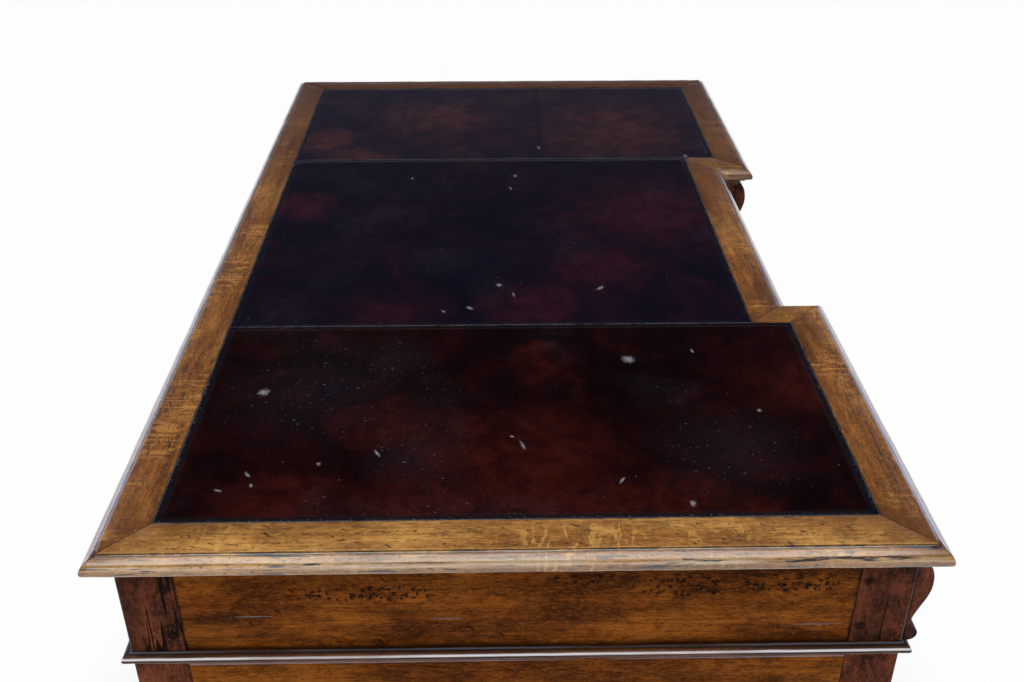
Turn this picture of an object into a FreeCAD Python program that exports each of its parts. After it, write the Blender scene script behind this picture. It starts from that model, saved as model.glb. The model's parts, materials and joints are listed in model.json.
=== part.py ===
import FreeCAD, Part
import math
import os
from FreeCAD import Matrix, Placement, Vector

# An oak pedestal desk with a leather writing surface and a recessed middle (an inverted breakfront).
# Three joined sections stand on each other as on the real desk: two panelled pedestals of three drawers
# each, and a top section that holds three frieze drawers under a mitred and moulded top.
# X runs along the length, +Y to the back, +Z up. The origin is on the floor, in the middle of the plan.
# The front, with the kneehole, faces -Y. All sizes are in millimetres.

# Overall sizes
TOP_LENGTH = 1570.0
TOP_DEPTH = 900.0
DESK_HEIGHT = 775.0
OVERHANG = 25.0
RECESS_WIDTH = 492.0
RECESS_DEPTH = 54.0

# Top: border boards with a thumb moulding, ground boards in grooves, leather let in flush
TOP_THICKNESS = 21.0
BORDER_WIDTH = 62.0
EDGE_MOULD_WIDTH = 15.0
EDGE_QUIRK = 2.5
EDGE_NOSE_HEIGHT = 7.0
EDGE_UNDERCUT = 5.0
GROUND_THICKNESS = 16.0
GROUND_TONGUE_THICKNESS = 6.0
GROUND_TONGUE_LENGTH = 8.0
LEATHER_THICKNESS = 1.5
LEATHER_SINK = 0.3
LEATHER_GAP = 0.3

# Bed moulding: a cove under the top
BED_HEIGHT = 17.0
BED_PROJECTION = 14.0
BED_BAND = 5.0
BED_FOOT = 3.0

# Posts, boards and rails
FRIEZE_HEIGHT = 129.0
POST_WIDTH = 40.0
POST_DEPTH = 60.0
FRIEZE_BOARD_THICKNESS = 22.0
PARTITION_THICKNESS = 20.0
FRIEZE_RAIL_HEIGHT = 18.0
DRAWER_RAIL_DEPTH = 40.0
FRAME_THICKNESS = 25.0
TOP_FRAME_RAIL_HEIGHT = 75.0
BOTTOM_FRAME_RAIL_LOW = 20.0
BOTTOM_FRAME_RAIL_HEIGHT = 130.0
MUNTIN_WIDTH = 70.0
PEDESTAL_TOP_RAIL_HEIGHT = 24.0
PEDESTAL_RAIL_HEIGHT = 18.0
PEDESTAL_BOARD_THICKNESS = 14.0

# Mortise and tenon joints with faceted pegs that stand a little proud
TENON_THICKNESS = 10.0
LONG_TENON = 30.0
SHORT_TENON = 16.0
TENON_HEIGHT_SHARE = 0.8
PEG_RADIUS = 3.6
PEG_LENGTH = 13.0
PEG_PROUD = 0.6
PEG_INSET = 10.0
PEG_HEIGHT_SHARES = (0.19, 0.70)
PEG_SIDES = 6

# Fielded panels in grooves
PANEL_EDGE = 7.0
PANEL_TONGUE = 8.0
PANEL_SETBACK = 5.0
PANEL_RISE = 5.0
PANEL_MARGIN = 10.0
PANEL_BEVEL = 24.0

# Scroll corbels on the front posts of the frieze
CORBEL_WIDTH = 35.0
CORBEL_NECK = 7.0
CORBEL_BELLY = 21.0
CORBEL_WAIST = 6.5
CORBEL_BELLY_SHARE = 0.70
CORBEL_BEND_SHARE = 0.40
CORBEL_WAIST_SHARE = 0.17
CORBEL_SCROLL_RADIUS = 9.0
CORBEL_SCROLL_WIDTH = 38.0

# Waist moulding round the head of each pedestal, and the plinth round its foot
WAIST_HEIGHT = 11.0
WAIST_PROJECTION = 10.0
WAIST_BEAD = 2.5
WAIST_FALL = 1.5
PLINTH_HEIGHT = 85.0
PLINTH_THICKNESS = 14.0
PLINTH_BEVEL_HEIGHT = 12.0
PLINTH_LIP = 3.0

# Drawers, dovetailed, and the runners that carry them
DRAWER_BACK_ROOM = 160.0
DRAWER_HEIGHT_SHARES = (0.368, 0.329, 0.303)
DRAWER_GAP = 1.0
RUN_GAP = 0.3
FRONT_THICKNESS = 22.0
FRONT_RISE = 4.0
FRONT_MARGIN = 9.0
FRONT_BEVEL = 14.0
SIDE_THICKNESS = 11.0
SIDE_DROP = 3.0
BACK_THICKNESS = 10.0
BACK_INSET = 12.0
BACK_DROP = 10.0
BOTTOM_THICKNESS = 6.0
BOTTOM_RISE = 9.0
GROOVE_DEPTH = 5.0
TAIL_LENGTH = 12.0
TAIL_PITCH = 48.0
TAIL_ROOT_SHARE = 0.24
TAIL_SLOPE_SHARE = 0.14
RUNNER_LIP = 20.0
RUNNER_HEIGHT = 16.0
GUIDE_HEIGHT = 18.0

# Turned knobs, each on a spigot let into the drawer front
KNOB_LENGTH = 24.0
KNOB_HEAD_RADIUS = 18.0
KNOB_HEAD_PLACE = 17.0
KNOB_FACE_RADIUS = 13.0
KNOB_NECK_RADIUS = 9.0
KNOB_NECK_PLACE = 6.0
KNOB_COLLAR_RADIUS = 13.0
KNOB_SPIGOT_RADIUS = 6.0
KNOB_SPIGOT_LENGTH = 16.0
KNOB_FIT = 0.1
KNOB_SPREAD_SHARE = 0.27
KNOB_SIDES = 12

# How far a cutting shape runs past what it cuts
OVERRUN = 5.0

# Places that follow from the sizes above
CARCASS_X = TOP_LENGTH / 2 - OVERHANG
CARCASS_Y = TOP_DEPTH / 2 - OVERHANG
KNEE_X = RECESS_WIDTH / 2 + OVERHANG
RECESS_Y = CARCASS_Y - RECESS_DEPTH
TOP_LOW = DESK_HEIGHT - TOP_THICKNESS
FRIEZE_LOW = TOP_LOW - FRIEZE_HEIGHT
POST_FRONT = (-CARCASS_Y, POST_DEPTH - CARCASS_Y)
POST_BACK = (CARCASS_Y - POST_DEPTH, CARCASS_Y)
POST_INNER = (KNEE_X, KNEE_X + POST_WIDTH)
POST_OUTER = (CARCASS_X - POST_WIDTH, CARCASS_X)
BETWEEN_POSTS_X = (POST_INNER[1], POST_OUTER[0])
BETWEEN_POSTS_Y = (POST_FRONT[1], POST_BACK[0])
FRIEZE_OPENING = (FRIEZE_LOW + FRIEZE_RAIL_HEIGHT, TOP_LOW - BED_HEIGHT)
DRAWER_END = CARCASS_Y - FRAME_THICKNESS - DRAWER_BACK_ROOM


# Small helpers for solids

def block(x, y, z):
    """A box from three (end, end) pairs, in any order."""
    low = Vector(min(x), min(y), min(z))
    return Part.makeBox(max(x) - min(x), max(y) - min(y), max(z) - min(z), low)


def middle(span):
    return (span[0] + span[1]) / 2


def about(centre, width):
    """The (low, high) pair of a width about its middle."""
    return (centre - width / 2, centre + width / 2)


def joined(first, *others):
    """One solid from several that touch, with faces in one plane merged."""
    return first.fuse(list(others)).removeSplitter().Solids[0]


def cut_by(solid, cutters):
    """The solid with the cutters' shapes taken out of it."""
    box = solid.BoundBox
    near = [c for c in cutters if box.intersect(c.BoundBox)]
    return solid.cut(near).Solids[0] if near else solid


def mirrored(shape):
    """The same piece on the other side of the desk's middle."""
    return shape.mirror(Vector(), Vector(1, 0, 0))


def on_side(side, shapes):
    """Pieces made for the right side, as they are or mirrored to the left."""
    return list(shapes) if side == "right" else [mirrored(s) for s in shapes]


def both_sides(shapes):
    return on_side("left", shapes) + on_side("right", shapes)


# Mitred strips that follow a right-angled outline

def left_normal(start, end):
    along = (end - start).normalize()
    return Vector(-along.y, along.x, 0)


def moved_in(outline, inset):
    """A counter-clockwise right-angled outline with every side moved inwards."""
    corners = []
    for i, corner in enumerate(outline):
        before = left_normal(outline[i - 1], corner)
        after = left_normal(corner, outline[(i + 1) % len(outline)])
        corners.append(corner + (before + after) * inset)
    return corners


def mitred_strips(outline, width, section):
    """One moulded strip along each side of an outline, cut at its mitres. section(place) returns the wire
    of its profile, where place(u, z) is the point u inwards from the outline at height z."""
    inner = moved_in(outline, width)
    strips = []
    for i, start in enumerate(outline):
        j = (i + 1) % len(outline)
        end = outline[j]
        inward = left_normal(start, end)
        past = (end - start).normalize() * (width + OVERRUN)
        first = start - past
        profile = section(lambda u, z: first + inward * u + Vector(0, 0, z))
        bar = Part.Face(profile).extrude(end + past - first)
        plan = Part.makePolygon([start, end, inner[j], inner[i], start])
        plan.translate(Vector(0, 0, -OVERRUN))
        prism = Part.Face(plan).extrude(Vector(0, 0, DESK_HEIGHT + 2 * OVERRUN))
        strips.append(bar.common(prism).Solids[0])
    return strips


def line(place, start, end):
    return Part.makeLine(place(*start), place(*end))


def quarter(place, start, end, corner):
    """A quarter-round from start to end that bulges towards the corner they share."""
    bulge = math.sqrt(0.5)
    mid = [a + b - c + (2 * c - a - b) * bulge for a, b, c in zip(start, end, corner)]
    return Part.Arc(place(*start), place(*mid), place(*end)).toShape()


def polyline(place, points):
    return [line(place, a, b) for a, b in zip(points, points[1:])]


def top_edge_section(place):
    """The border board: a small upright quirk, a thumb moulding and an undercut nose."""
    nose = (0, TOP_LOW + EDGE_NOSE_HEIGHT)
    quirk = (EDGE_MOULD_WIDTH, DESK_HEIGHT - EDGE_QUIRK)
    edges = polyline(place, [quirk, (EDGE_MOULD_WIDTH, DESK_HEIGHT), (BORDER_WIDTH, DESK_HEIGHT),
                             (BORDER_WIDTH, TOP_LOW), (EDGE_UNDERCUT, TOP_LOW), nose])
    edges.append(quarter(place, nose, quirk, (0, quirk[1])))
    return Part.Wire(edges)


def bed_section(place):
    """A cove between a plain upper band and a thin foot."""
    low = TOP_LOW - BED_HEIGHT
    cove_low = (BED_PROJECTION - BED_FOOT, low)
    cove_high = (0, TOP_LOW - BED_BAND)
    flat = [cove_high, (0, TOP_LOW), (BED_PROJECTION, TOP_LOW), (BED_PROJECTION, low), cove_low]
    edges = polyline(place, flat)
    edges.append(quarter(place, cove_low, cove_high, (cove_low[0], cove_high[1])))
    return Part.Wire(edges)


def waist_section(place):
    """A flat bead with a sloping top that sheds onto its nose."""
    low = FRIEZE_LOW - WAIST_HEIGHT
    bead_high = (WAIST_BEAD, FRIEZE_LOW - WAIST_FALL)
    bead_low = (WAIST_BEAD, low)
    edges = polyline(place, [bead_low, (WAIST_PROJECTION, low), (WAIST_PROJECTION, FRIEZE_LOW), bead_high])
    nose = (0, (bead_high[1] + low) / 2)
    edges.append(Part.Arc(place(*bead_high), place(*nose), place(*bead_low)).toShape())
    return Part.Wire(edges)


def plinth_section(place):
    """A plain skirting with a bevelled upper edge."""
    outline = [(0, 0), (0, PLINTH_HEIGHT - PLINTH_BEVEL_HEIGHT),
               (PLINTH_THICKNESS - PLINTH_LIP, PLINTH_HEIGHT), (PLINTH_THICKNESS, PLINTH_HEIGHT),
               (PLINTH_THICKNESS, 0), (0, 0)]
    return Part.Wire(polyline(place, outline))


def breakfront_outline(x, y, recess_x, recess_y):
    """The plan of the top: a rectangle with its front set back in the middle."""
    points = [(-x, -y), (-recess_x, -y), (-recess_x, -recess_y), (recess_x, -recess_y),
              (recess_x, -y), (x, -y), (x, y), (-x, y)]
    return [Vector(a, b, 0) for a, b in points]


TOP_OUTLINE = breakfront_outline(TOP_LENGTH / 2, TOP_DEPTH / 2,
                                 RECESS_WIDTH / 2, TOP_DEPTH / 2 - RECESS_DEPTH)
PEDESTAL_OUTLINE = [Vector(KNEE_X, -CARCASS_Y, 0), Vector(CARCASS_X, -CARCASS_Y, 0),
                    Vector(CARCASS_X, CARCASS_Y, 0), Vector(KNEE_X, CARCASS_Y, 0)]


# Boards with a tenon on both ends, and the pegs that hold them

def tenoned(x, y, z, along, tenon):
    """A board with a tenon in the middle of its thickness at both ends along "x", "y" or "z".
    A rail's or board's tenon is lower than the board, and an upright's is narrower."""
    spans = {"x": x, "y": y, "z": z}
    sizes = {axis: span[1] - span[0] for axis, span in spans.items()}
    thin = min((axis for axis in "xy" if axis != along), key=sizes.get)
    tongue = {}
    for axis, span in spans.items():
        if axis == along:
            size = sizes[axis] + 2 * tenon
        elif axis == thin:
            size = TENON_THICKNESS
        else:
            size = sizes[axis] * TENON_HEIGHT_SHARE
        tongue[axis] = about(middle(span), size)
    return joined(block(x, y, z), block(tongue["x"], tongue["y"], tongue["z"]))


def ring(radius, sides, w):
    """A closed polygon about the w axis, at height w."""
    turns = [2 * math.pi * (i % sides) / sides for i in range(sides + 1)]
    return Part.makePolygon([Vector(radius * math.cos(t), radius * math.sin(t), w) for t in turns])


def peg(foot, outward):
    """A faceted peg driven in from the face that holds foot, standing a little proud."""
    stick = Part.Face(ring(PEG_RADIUS, PEG_SIDES, PEG_PROUD)).extrude(Vector(0, 0, -PEG_LENGTH - PEG_PROUD))
    return faced(stick, foot, outward)


def end_pegs(run, z):
    """Two pegs into the tenon at each end of the right end board, which fills run by z between its posts."""
    spots = [run[0] - PEG_INSET, run[1] + PEG_INSET]
    heights = [z[0] + (z[1] - z[0]) * share for share in PEG_HEIGHT_SHARES]
    return [peg(Vector(CARCASS_X, s, h), Vector(1, 0, 0)) for s in spots for h in heights]


# Fielded faces for panels and drawer fronts

def rectangle(width, height, w):
    u = width / 2
    v = height / 2
    corners = [(-u, -v), (u, -v), (u, v), (-u, v), (-u, -v)]
    return Part.makePolygon([Vector(a, b, w) for a, b in corners])


def fielded(width, height, edge, rise, margin, bevel):
    """A slab whose outer face is raised in the middle between sloping bevels. It lies about the origin with
    its field at w = 0, facing +w."""
    slab = Part.Face(rectangle(width, height, -rise)).extrude(Vector(0, 0, -edge))
    foot = rectangle(width - 2 * margin, height - 2 * margin, -rise)
    crown = rectangle(width - 2 * (margin + bevel), height - 2 * (margin + bevel), 0)
    return joined(slab, Part.makeLoft([foot, crown], True, True))


def faced(solid, centre, outward):
    """A solid made about the origin, turned so that +w points outwards and put at its centre."""
    up = Vector(0, 0, 1)
    across = up.cross(outward)
    turned = solid.copy()
    turned.Placement = Placement(Matrix(across.x, up.x, outward.x, centre.x,
                                        across.y, up.y, outward.y, centre.y,
                                        across.z, up.z, outward.z, centre.z,
                                        0, 0, 0, 1))
    return turned


def panel(run, z, place, outward):
    """A fielded panel for the opening run by z in a frame. place(s, z) is a point on the frame's face."""
    width = run[1] - run[0] + 2 * PANEL_TONGUE
    height = z[1] - z[0] + 2 * PANEL_TONGUE
    slab = fielded(width, height, PANEL_EDGE, PANEL_RISE, PANEL_TONGUE + PANEL_MARGIN, PANEL_BEVEL)
    return faced(slab, place(middle(run), middle(z)) - outward * PANEL_SETBACK, outward)


# Top

def leather_plan():
    """The (x, y) spans of the three leathers and of the ground boards under them, from left to right."""
    outer = TOP_LENGTH / 2 - BORDER_WIDTH
    inner = RECESS_WIDTH / 2 + BORDER_WIDTH
    back = TOP_DEPTH / 2 - BORDER_WIDTH
    return {"left": ((-outer, -inner), (-back, back)),
            "middle": ((-inner, inner), (RECESS_DEPTH - back, back)),
            "right": ((inner, outer), (-back, back))}


def ground_boards():
    """Three boards under the leather, tongued into the border in front, behind and at the ends."""
    high = DESK_HEIGHT - LEATHER_SINK - LEATHER_THICKNESS
    z = (high - GROUND_THICKNESS, high)
    tongue_z = about(middle(z), GROUND_TONGUE_THICKNESS)
    boards = {}
    for name, (x, y) in leather_plan().items():
        tongue_y = about(middle(y), y[1] - y[0] + 2 * GROUND_TONGUE_LENGTH)
        parts = [block(x, y, z), block(x, tongue_y, tongue_z)]
        if name != "middle":
            end = min(x) if name == "left" else max(x)
            parts.append(block((end - GROUND_TONGUE_LENGTH, end + GROUND_TONGUE_LENGTH), y, tongue_z))
        boards[name] = joined(*parts)
    return boards


def make_top():
    ground = ground_boards()
    names = ["front_left", "return_left", "recess", "return_right",
             "front_right", "right_end", "back", "left_end"]
    strips = mitred_strips(TOP_OUTLINE, BORDER_WIDTH, top_edge_section)
    border = {name: cut_by(strip, ground.values()) for name, strip in zip(names, strips)}
    bed_outline = moved_in(TOP_OUTLINE, OVERHANG - BED_PROJECTION)
    nodes = {
        "top_back_board": [border["back"]],
        "top_left_end_board": [border["left_end"]],
        "top_right_end_board": [border["right_end"]],
        "top_front_boards": [border["front_left"], border["front_right"]],
        "top_recess_boards": [border["return_left"], border["recess"], border["return_right"]],
        "top_ground_boards": list(ground.values()),
        "bed_moulding": mitred_strips(bed_outline, BED_PROJECTION, bed_section),
    }
    high = DESK_HEIGHT - LEATHER_SINK
    for name, (x, y) in leather_plan().items():
        sheet_x = (x[0] + LEATHER_GAP, x[1] - LEATHER_GAP)
        sheet_y = (y[0] + LEATHER_GAP, y[1] - LEATHER_GAP)
        nodes["leather_" + name] = [block(sheet_x, sheet_y, (high - LEATHER_THICKNESS, high))]
    return nodes


# Runners and kickers

def runner(x_fixed, x_lip, y_fixed, y_lip, z, guide_high):
    """A drawer bearer: a lip under the drawer side and, beside it, a fixed part that can rise as a guide."""
    return joined(block(x_lip, y_lip, z), block(x_fixed, y_fixed, (z[0], guide_high)))


def side_runners(x_inside, z_top, height, guide):
    """The two bearers of a drawer between the posts, whose fixed parts reach to x_inside at both sides."""
    lip_y = (DRAWER_RAIL_DEPTH - CARCASS_Y, CARCASS_Y - FRAME_THICKNESS)
    z = (z_top - height, z_top)
    inner_lip = (BETWEEN_POSTS_X[0], BETWEEN_POSTS_X[0] + RUNNER_LIP)
    outer_lip = (BETWEEN_POSTS_X[1] - RUNNER_LIP, BETWEEN_POSTS_X[1])
    return [runner((x_inside[0], inner_lip[0]), inner_lip, BETWEEN_POSTS_Y, lip_y, z, z_top + guide),
            runner((outer_lip[1], x_inside[1]), outer_lip, BETWEEN_POSTS_Y, lip_y, z, z_top + guide)]


# Frieze, the top section's carcass

def corbel():
    """A scroll corbel in profile, p out from the post's face and z up from the waist moulding."""
    height = FRIEZE_HEIGHT - BED_HEIGHT
    belly = (CORBEL_BELLY, height * CORBEL_BELLY_SHARE)
    bend = ((CORBEL_BELLY + CORBEL_WAIST) / 2, height * CORBEL_BEND_SHARE)
    waist = (CORBEL_WAIST, height * CORBEL_WAIST_SHARE)
    hollow = (CORBEL_WAIST + (bend[0] - waist[0]) / 3, (bend[1] + waist[1]) / 2)

    def place(p, z):
        return Vector(-CORBEL_WIDTH / 2, -p, z)

    edges = polyline(place, [waist, (CORBEL_WAIST, 0), (0, 0), (0, height), (CORBEL_NECK, height)])
    edges.append(Part.Arc(place(CORBEL_NECK, height), place(*belly), place(*bend)).toShape())
    edges.append(Part.Arc(place(*bend), place(*hollow), place(*waist)).toShape())
    body = Part.Face(Part.Wire(edges)).extrude(Vector(CORBEL_WIDTH, 0, 0))
    eye = Vector(-CORBEL_SCROLL_WIDTH / 2, -CORBEL_WAIST, CORBEL_SCROLL_RADIUS)
    scroll = Part.makeCylinder(CORBEL_SCROLL_RADIUS, CORBEL_SCROLL_WIDTH, eye, Vector(1, 0, 0))
    behind = block((-CORBEL_SCROLL_WIDTH, CORBEL_SCROLL_WIDTH), (0, CORBEL_SCROLL_RADIUS), (0, height))
    return body.fuse(scroll).cut(behind).removeSplitter().Solids[0]


def corbels():
    shapes = []
    for post in (POST_INNER, POST_OUTER):
        copy = corbel()
        copy.translate(Vector(middle(post), -CARCASS_Y, FRIEZE_LOW))
        shapes.append(copy)
    return both_sides(shapes)


def frieze_rails():
    """The rails under and over the three frieze drawers."""
    rails = []
    for z in ((FRIEZE_LOW, FRIEZE_OPENING[0]), (FRIEZE_OPENING[1], TOP_LOW)):
        side_y = (-CARCASS_Y, DRAWER_RAIL_DEPTH - CARCASS_Y)
        centre_y = (-RECESS_Y, DRAWER_RAIL_DEPTH - RECESS_Y)
        rails += both_sides([tenoned(BETWEEN_POSTS_X, side_y, z, "x", SHORT_TENON)])
        rails.append(tenoned((-KNEE_X, KNEE_X), centre_y, z, "x", SHORT_TENON))
    return rails


def frieze_runners():
    """Bearers under the frieze drawers, and kickers over them that stop them tipping."""
    inside = (KNEE_X + PARTITION_THICKNESS, CARCASS_X - FRIEZE_BOARD_THICKNESS)
    kicker_height = TOP_LOW - FRIEZE_OPENING[1]
    bars = side_runners(inside, FRIEZE_OPENING[0], RUNNER_HEIGHT, GUIDE_HEIGHT)
    bars += side_runners(inside, TOP_LOW, kicker_height, 0)
    centre_y = (DRAWER_RAIL_DEPTH - RECESS_Y, CARCASS_Y - FRIEZE_BOARD_THICKNESS)
    lip = (KNEE_X - RUNNER_LIP, KNEE_X)
    bars.append(block(lip, centre_y, (FRIEZE_OPENING[0] - RUNNER_HEIGHT, FRIEZE_OPENING[0])))
    bars.append(block(lip, centre_y, (FRIEZE_OPENING[1], TOP_LOW)))
    return both_sides(bars)


def make_frieze():
    z = (FRIEZE_LOW, TOP_LOW)
    end_x = (CARCASS_X - FRIEZE_BOARD_THICKNESS, CARCASS_X)
    back_y = (CARCASS_Y - FRIEZE_BOARD_THICKNESS, CARCASS_Y)
    end = tenoned(end_x, BETWEEN_POSTS_Y, z, "y", LONG_TENON)
    side_back = tenoned(BETWEEN_POSTS_X, back_y, z, "x", SHORT_TENON)
    middle_back = tenoned((-KNEE_X, KNEE_X), back_y, z, "x", SHORT_TENON)
    partition_x = (KNEE_X, KNEE_X + PARTITION_THICKNESS)
    partition = tenoned(partition_x, BETWEEN_POSTS_Y, z, "y", LONG_TENON)
    rails = frieze_rails()
    pegs = both_sides(end_pegs(BETWEEN_POSTS_Y, z))
    ends = [cut_by(b, pegs) for b in both_sides([end])]
    backs = both_sides([side_back]) + [middle_back]
    partitions = [cut_by(b, rails) for b in both_sides([partition])]
    posts = both_sides([block(x, y, z) for x in (POST_INNER, POST_OUTER) for y in (POST_FRONT, POST_BACK)])
    posts = [cut_by(post, ends + backs + partitions + rails + pegs) for post in posts]
    nodes = {
        "frieze_posts": posts,
        "frieze_end_boards": ends,
        "frieze_back_boards": backs,
        "frieze_partitions": partitions,
        "frieze_rails": rails,
        "frieze_runners": frieze_runners(),
        "scroll_corbels": corbels(),
    }
    return nodes, pegs


# Pedestals

def pedestal_openings():
    """The (low, high) heights of the three drawer openings, from the bottom up."""
    low = PLINTH_HEIGHT + PEDESTAL_RAIL_HEIGHT
    high = FRIEZE_LOW - PEDESTAL_TOP_RAIL_HEIGHT
    gaps = len(DRAWER_HEIGHT_SHARES) - 1
    room = high - low - gaps * PEDESTAL_RAIL_HEIGHT
    openings = []
    for share in DRAWER_HEIGHT_SHARES:
        openings.append((low, low + room * share))
        low += room * share + PEDESTAL_RAIL_HEIGHT
    return openings


def panelled_side(run, place_board, place, outward, muntins, tenon):
    """A frame of two rails, its muntins and its panels, in the gap run between two posts.
    place_board(s) gives the x and y spans of a board over s, and place(s, z) is a point on its face."""
    top_z = (FRIEZE_LOW - TOP_FRAME_RAIL_HEIGHT, FRIEZE_LOW)
    bottom_z = (BOTTOM_FRAME_RAIL_LOW, BOTTOM_FRAME_RAIL_LOW + BOTTOM_FRAME_RAIL_HEIGHT)
    panel_z = (bottom_z[1], top_z[0])
    along = "y" if outward.x else "x"
    pitch = (run[1] - run[0]) / (muntins + 1)
    uprights = [about(run[0] + pitch * (i + 1), MUNTIN_WIDTH) for i in range(muntins)]
    edges = [run[0]] + [edge for upright in uprights for edge in upright] + [run[1]]
    bays = list(zip(edges[::2], edges[1::2]))
    panels = [panel(bay, panel_z, place, outward) for bay in bays]
    stems = [tenoned(*place_board(upright), panel_z, "z", SHORT_TENON) for upright in uprights]
    rails = [tenoned(*place_board(run), z, along, tenon) for z in (bottom_z, top_z)]
    rails = [cut_by(rail, stems + panels) for rail in rails]
    stems = [cut_by(stem, panels) for stem in stems]
    return rails + stems, panels


def make_pedestal():
    """The right pedestal: posts, frames, panels, drawer rails, runners, boards and plinth."""
    z = (0, FRIEZE_LOW)
    outer_x = (CARCASS_X - FRAME_THICKNESS, CARCASS_X)
    inner_x = (KNEE_X, KNEE_X + FRAME_THICKNESS)
    back_y = (CARCASS_Y - FRAME_THICKNESS, CARCASS_Y)
    sides = [
        panelled_side(BETWEEN_POSTS_Y, lambda s: (outer_x, s), lambda s, h: Vector(CARCASS_X, s, h),
                      Vector(1, 0, 0), 1, LONG_TENON),
        panelled_side(BETWEEN_POSTS_Y, lambda s: (inner_x, s), lambda s, h: Vector(KNEE_X, s, h),
                      Vector(-1, 0, 0), 1, LONG_TENON),
        panelled_side(BETWEEN_POSTS_X, lambda s: (s, back_y), lambda s, h: Vector(s, CARCASS_Y, h),
                      Vector(0, 1, 0), 0, SHORT_TENON),
    ]
    frames = [piece for side in sides for piece in side[0]]
    panels = [piece for side in sides for piece in side[1]]
    openings = pedestal_openings()
    rail_y = (-CARCASS_Y, DRAWER_RAIL_DEPTH - CARCASS_Y)
    levels = [(PLINTH_HEIGHT, openings[0][0])]
    levels += [(below[1], above[0]) for below, above in zip(openings, openings[1:])]
    levels.append((openings[-1][1], FRIEZE_LOW))
    rails = [tenoned(BETWEEN_POSTS_X, rail_y, level, "x", SHORT_TENON) for level in levels]
    inside = (inner_x[1], outer_x[0])
    bars = []
    for low, high in openings:
        bars += side_runners(inside, low, RUNNER_HEIGHT, GUIDE_HEIGHT)
    boards = [block(inside, BETWEEN_POSTS_Y, (FRIEZE_LOW - PEDESTAL_BOARD_THICKNESS, FRIEZE_LOW)),
              block(inside, BETWEEN_POSTS_Y, (PLINTH_HEIGHT - PEDESTAL_BOARD_THICKNESS, PLINTH_HEIGHT))]
    posts = [block(x, y, z) for x in (POST_INNER, POST_OUTER) for y in (POST_FRONT, POST_BACK)]
    posts = [cut_by(post, frames + panels + rails) for post in posts]
    plinth_outline = moved_in(PEDESTAL_OUTLINE, -PLINTH_THICKNESS)
    nodes = {
        "pedestal_posts": posts,
        "pedestal_frames": frames,
        "pedestal_panels": panels,
        "pedestal_drawer_rails": rails,
        "pedestal_runners": bars,
        "pedestal_boards": boards,
        "plinth": mitred_strips(plinth_outline, PLINTH_THICKNESS, plinth_section),
    }
    waist_outline = moved_in(PEDESTAL_OUTLINE, -WAIST_PROJECTION)
    waist = mitred_strips(waist_outline, WAIST_PROJECTION, waist_section)
    return nodes, waist


# Drawers

def tails(x, y_root, y_end, z):
    """Dovetails that widen from y_root to y_end, spread over the height z, as thick as the span x."""
    count = max(2, round((z[1] - z[0]) / TAIL_PITCH))
    pitch = (z[1] - z[0]) / count
    root = pitch * TAIL_ROOT_SHARE
    end = root + abs(y_end - y_root) * TAIL_SLOPE_SHARE
    shapes = []
    for i in range(count):
        centre = z[0] + pitch * (i + 0.5)
        corners = [(y_root, centre - root), (y_end, centre - end),
                   (y_end, centre + end), (y_root, centre + root)]
        outline = [Vector(x[0], y, h) for y, h in corners + corners[:1]]
        shapes.append(Part.Face(Part.makePolygon(outline)).extrude(Vector(x[1] - x[0], 0, 0)))
    return shapes


def knob():
    """A turned knob in facets about the w axis, with its collar at w = 0 and its spigot behind it."""
    outline = [(KNOB_COLLAR_RADIUS, 0), (KNOB_NECK_RADIUS, KNOB_NECK_PLACE),
               (KNOB_HEAD_RADIUS, KNOB_HEAD_PLACE), (KNOB_FACE_RADIUS, KNOB_LENGTH)]
    head = Part.makeLoft([ring(radius, KNOB_SIDES, w) for radius, w in outline], True, True)
    return joined(head, spigot(KNOB_SPIGOT_RADIUS))


def spigot(radius):
    """The faceted peg behind a knob, or the socket for it."""
    return Part.Face(ring(radius, PEG_SIDES, 0)).extrude(Vector(0, 0, -KNOB_SPIGOT_LENGTH))


def make_drawer(opening_x, front_y, opening_z):
    """A dovetailed drawer for an opening: its front, its four box boards and its two knobs."""
    x = (opening_x[0] + DRAWER_GAP, opening_x[1] - DRAWER_GAP)
    z = (opening_z[0] + RUN_GAP, opening_z[1] - DRAWER_GAP)
    inner_y = front_y + FRONT_THICKNESS
    back_y = (DRAWER_END - BACK_INSET - BACK_THICKNESS, DRAWER_END - BACK_INSET)
    side_z = (z[0], z[1] - SIDE_DROP)
    bottom_z = (z[0] + BOTTOM_RISE, z[0] + BOTTOM_RISE + BOTTOM_THICKNESS)
    back_z = (bottom_z[1], side_z[1] - BACK_DROP)
    outward = Vector(0, -1, 0)

    edge = FRONT_THICKNESS - FRONT_RISE
    slab = fielded(x[1] - x[0], z[1] - z[0], edge, FRONT_RISE, FRONT_MARGIN, FRONT_BEVEL)
    front = faced(slab, Vector(middle(x), front_y, middle(z)), outward)
    inside = SIDE_THICKNESS - GROOVE_DEPTH
    bottom = block((x[0] + inside, x[1] - inside), (inner_y - GROOVE_DEPTH, DRAWER_END), bottom_z)
    back = block((x[0] + inside, x[1] - inside), back_y, back_z)
    sides = []
    for side_x in ((x[0], x[0] + SIDE_THICKNESS), (x[1] - SIDE_THICKNESS, x[1])):
        front_tails = tails(side_x, inner_y, inner_y - TAIL_LENGTH, side_z)
        front = cut_by(front, front_tails)
        sides.append(joined(block(side_x, (inner_y, DRAWER_END), side_z), *front_tails))
    sides = [cut_by(side, [back, bottom]) for side in sides]
    front = cut_by(front, [bottom])

    knobs = []
    for way in (-1, 1):
        spot = Vector(middle(x) + way * (x[1] - x[0]) * KNOB_SPREAD_SHARE, front_y, middle(z))
        knobs.append(faced(knob(), spot, outward))
        socket = faced(spigot(KNOB_SPIGOT_RADIUS + KNOB_FIT), spot, outward)
        front = cut_by(front, [socket])
    return {"front": [front], "box": sides + [back, bottom], "knobs": knobs}


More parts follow.
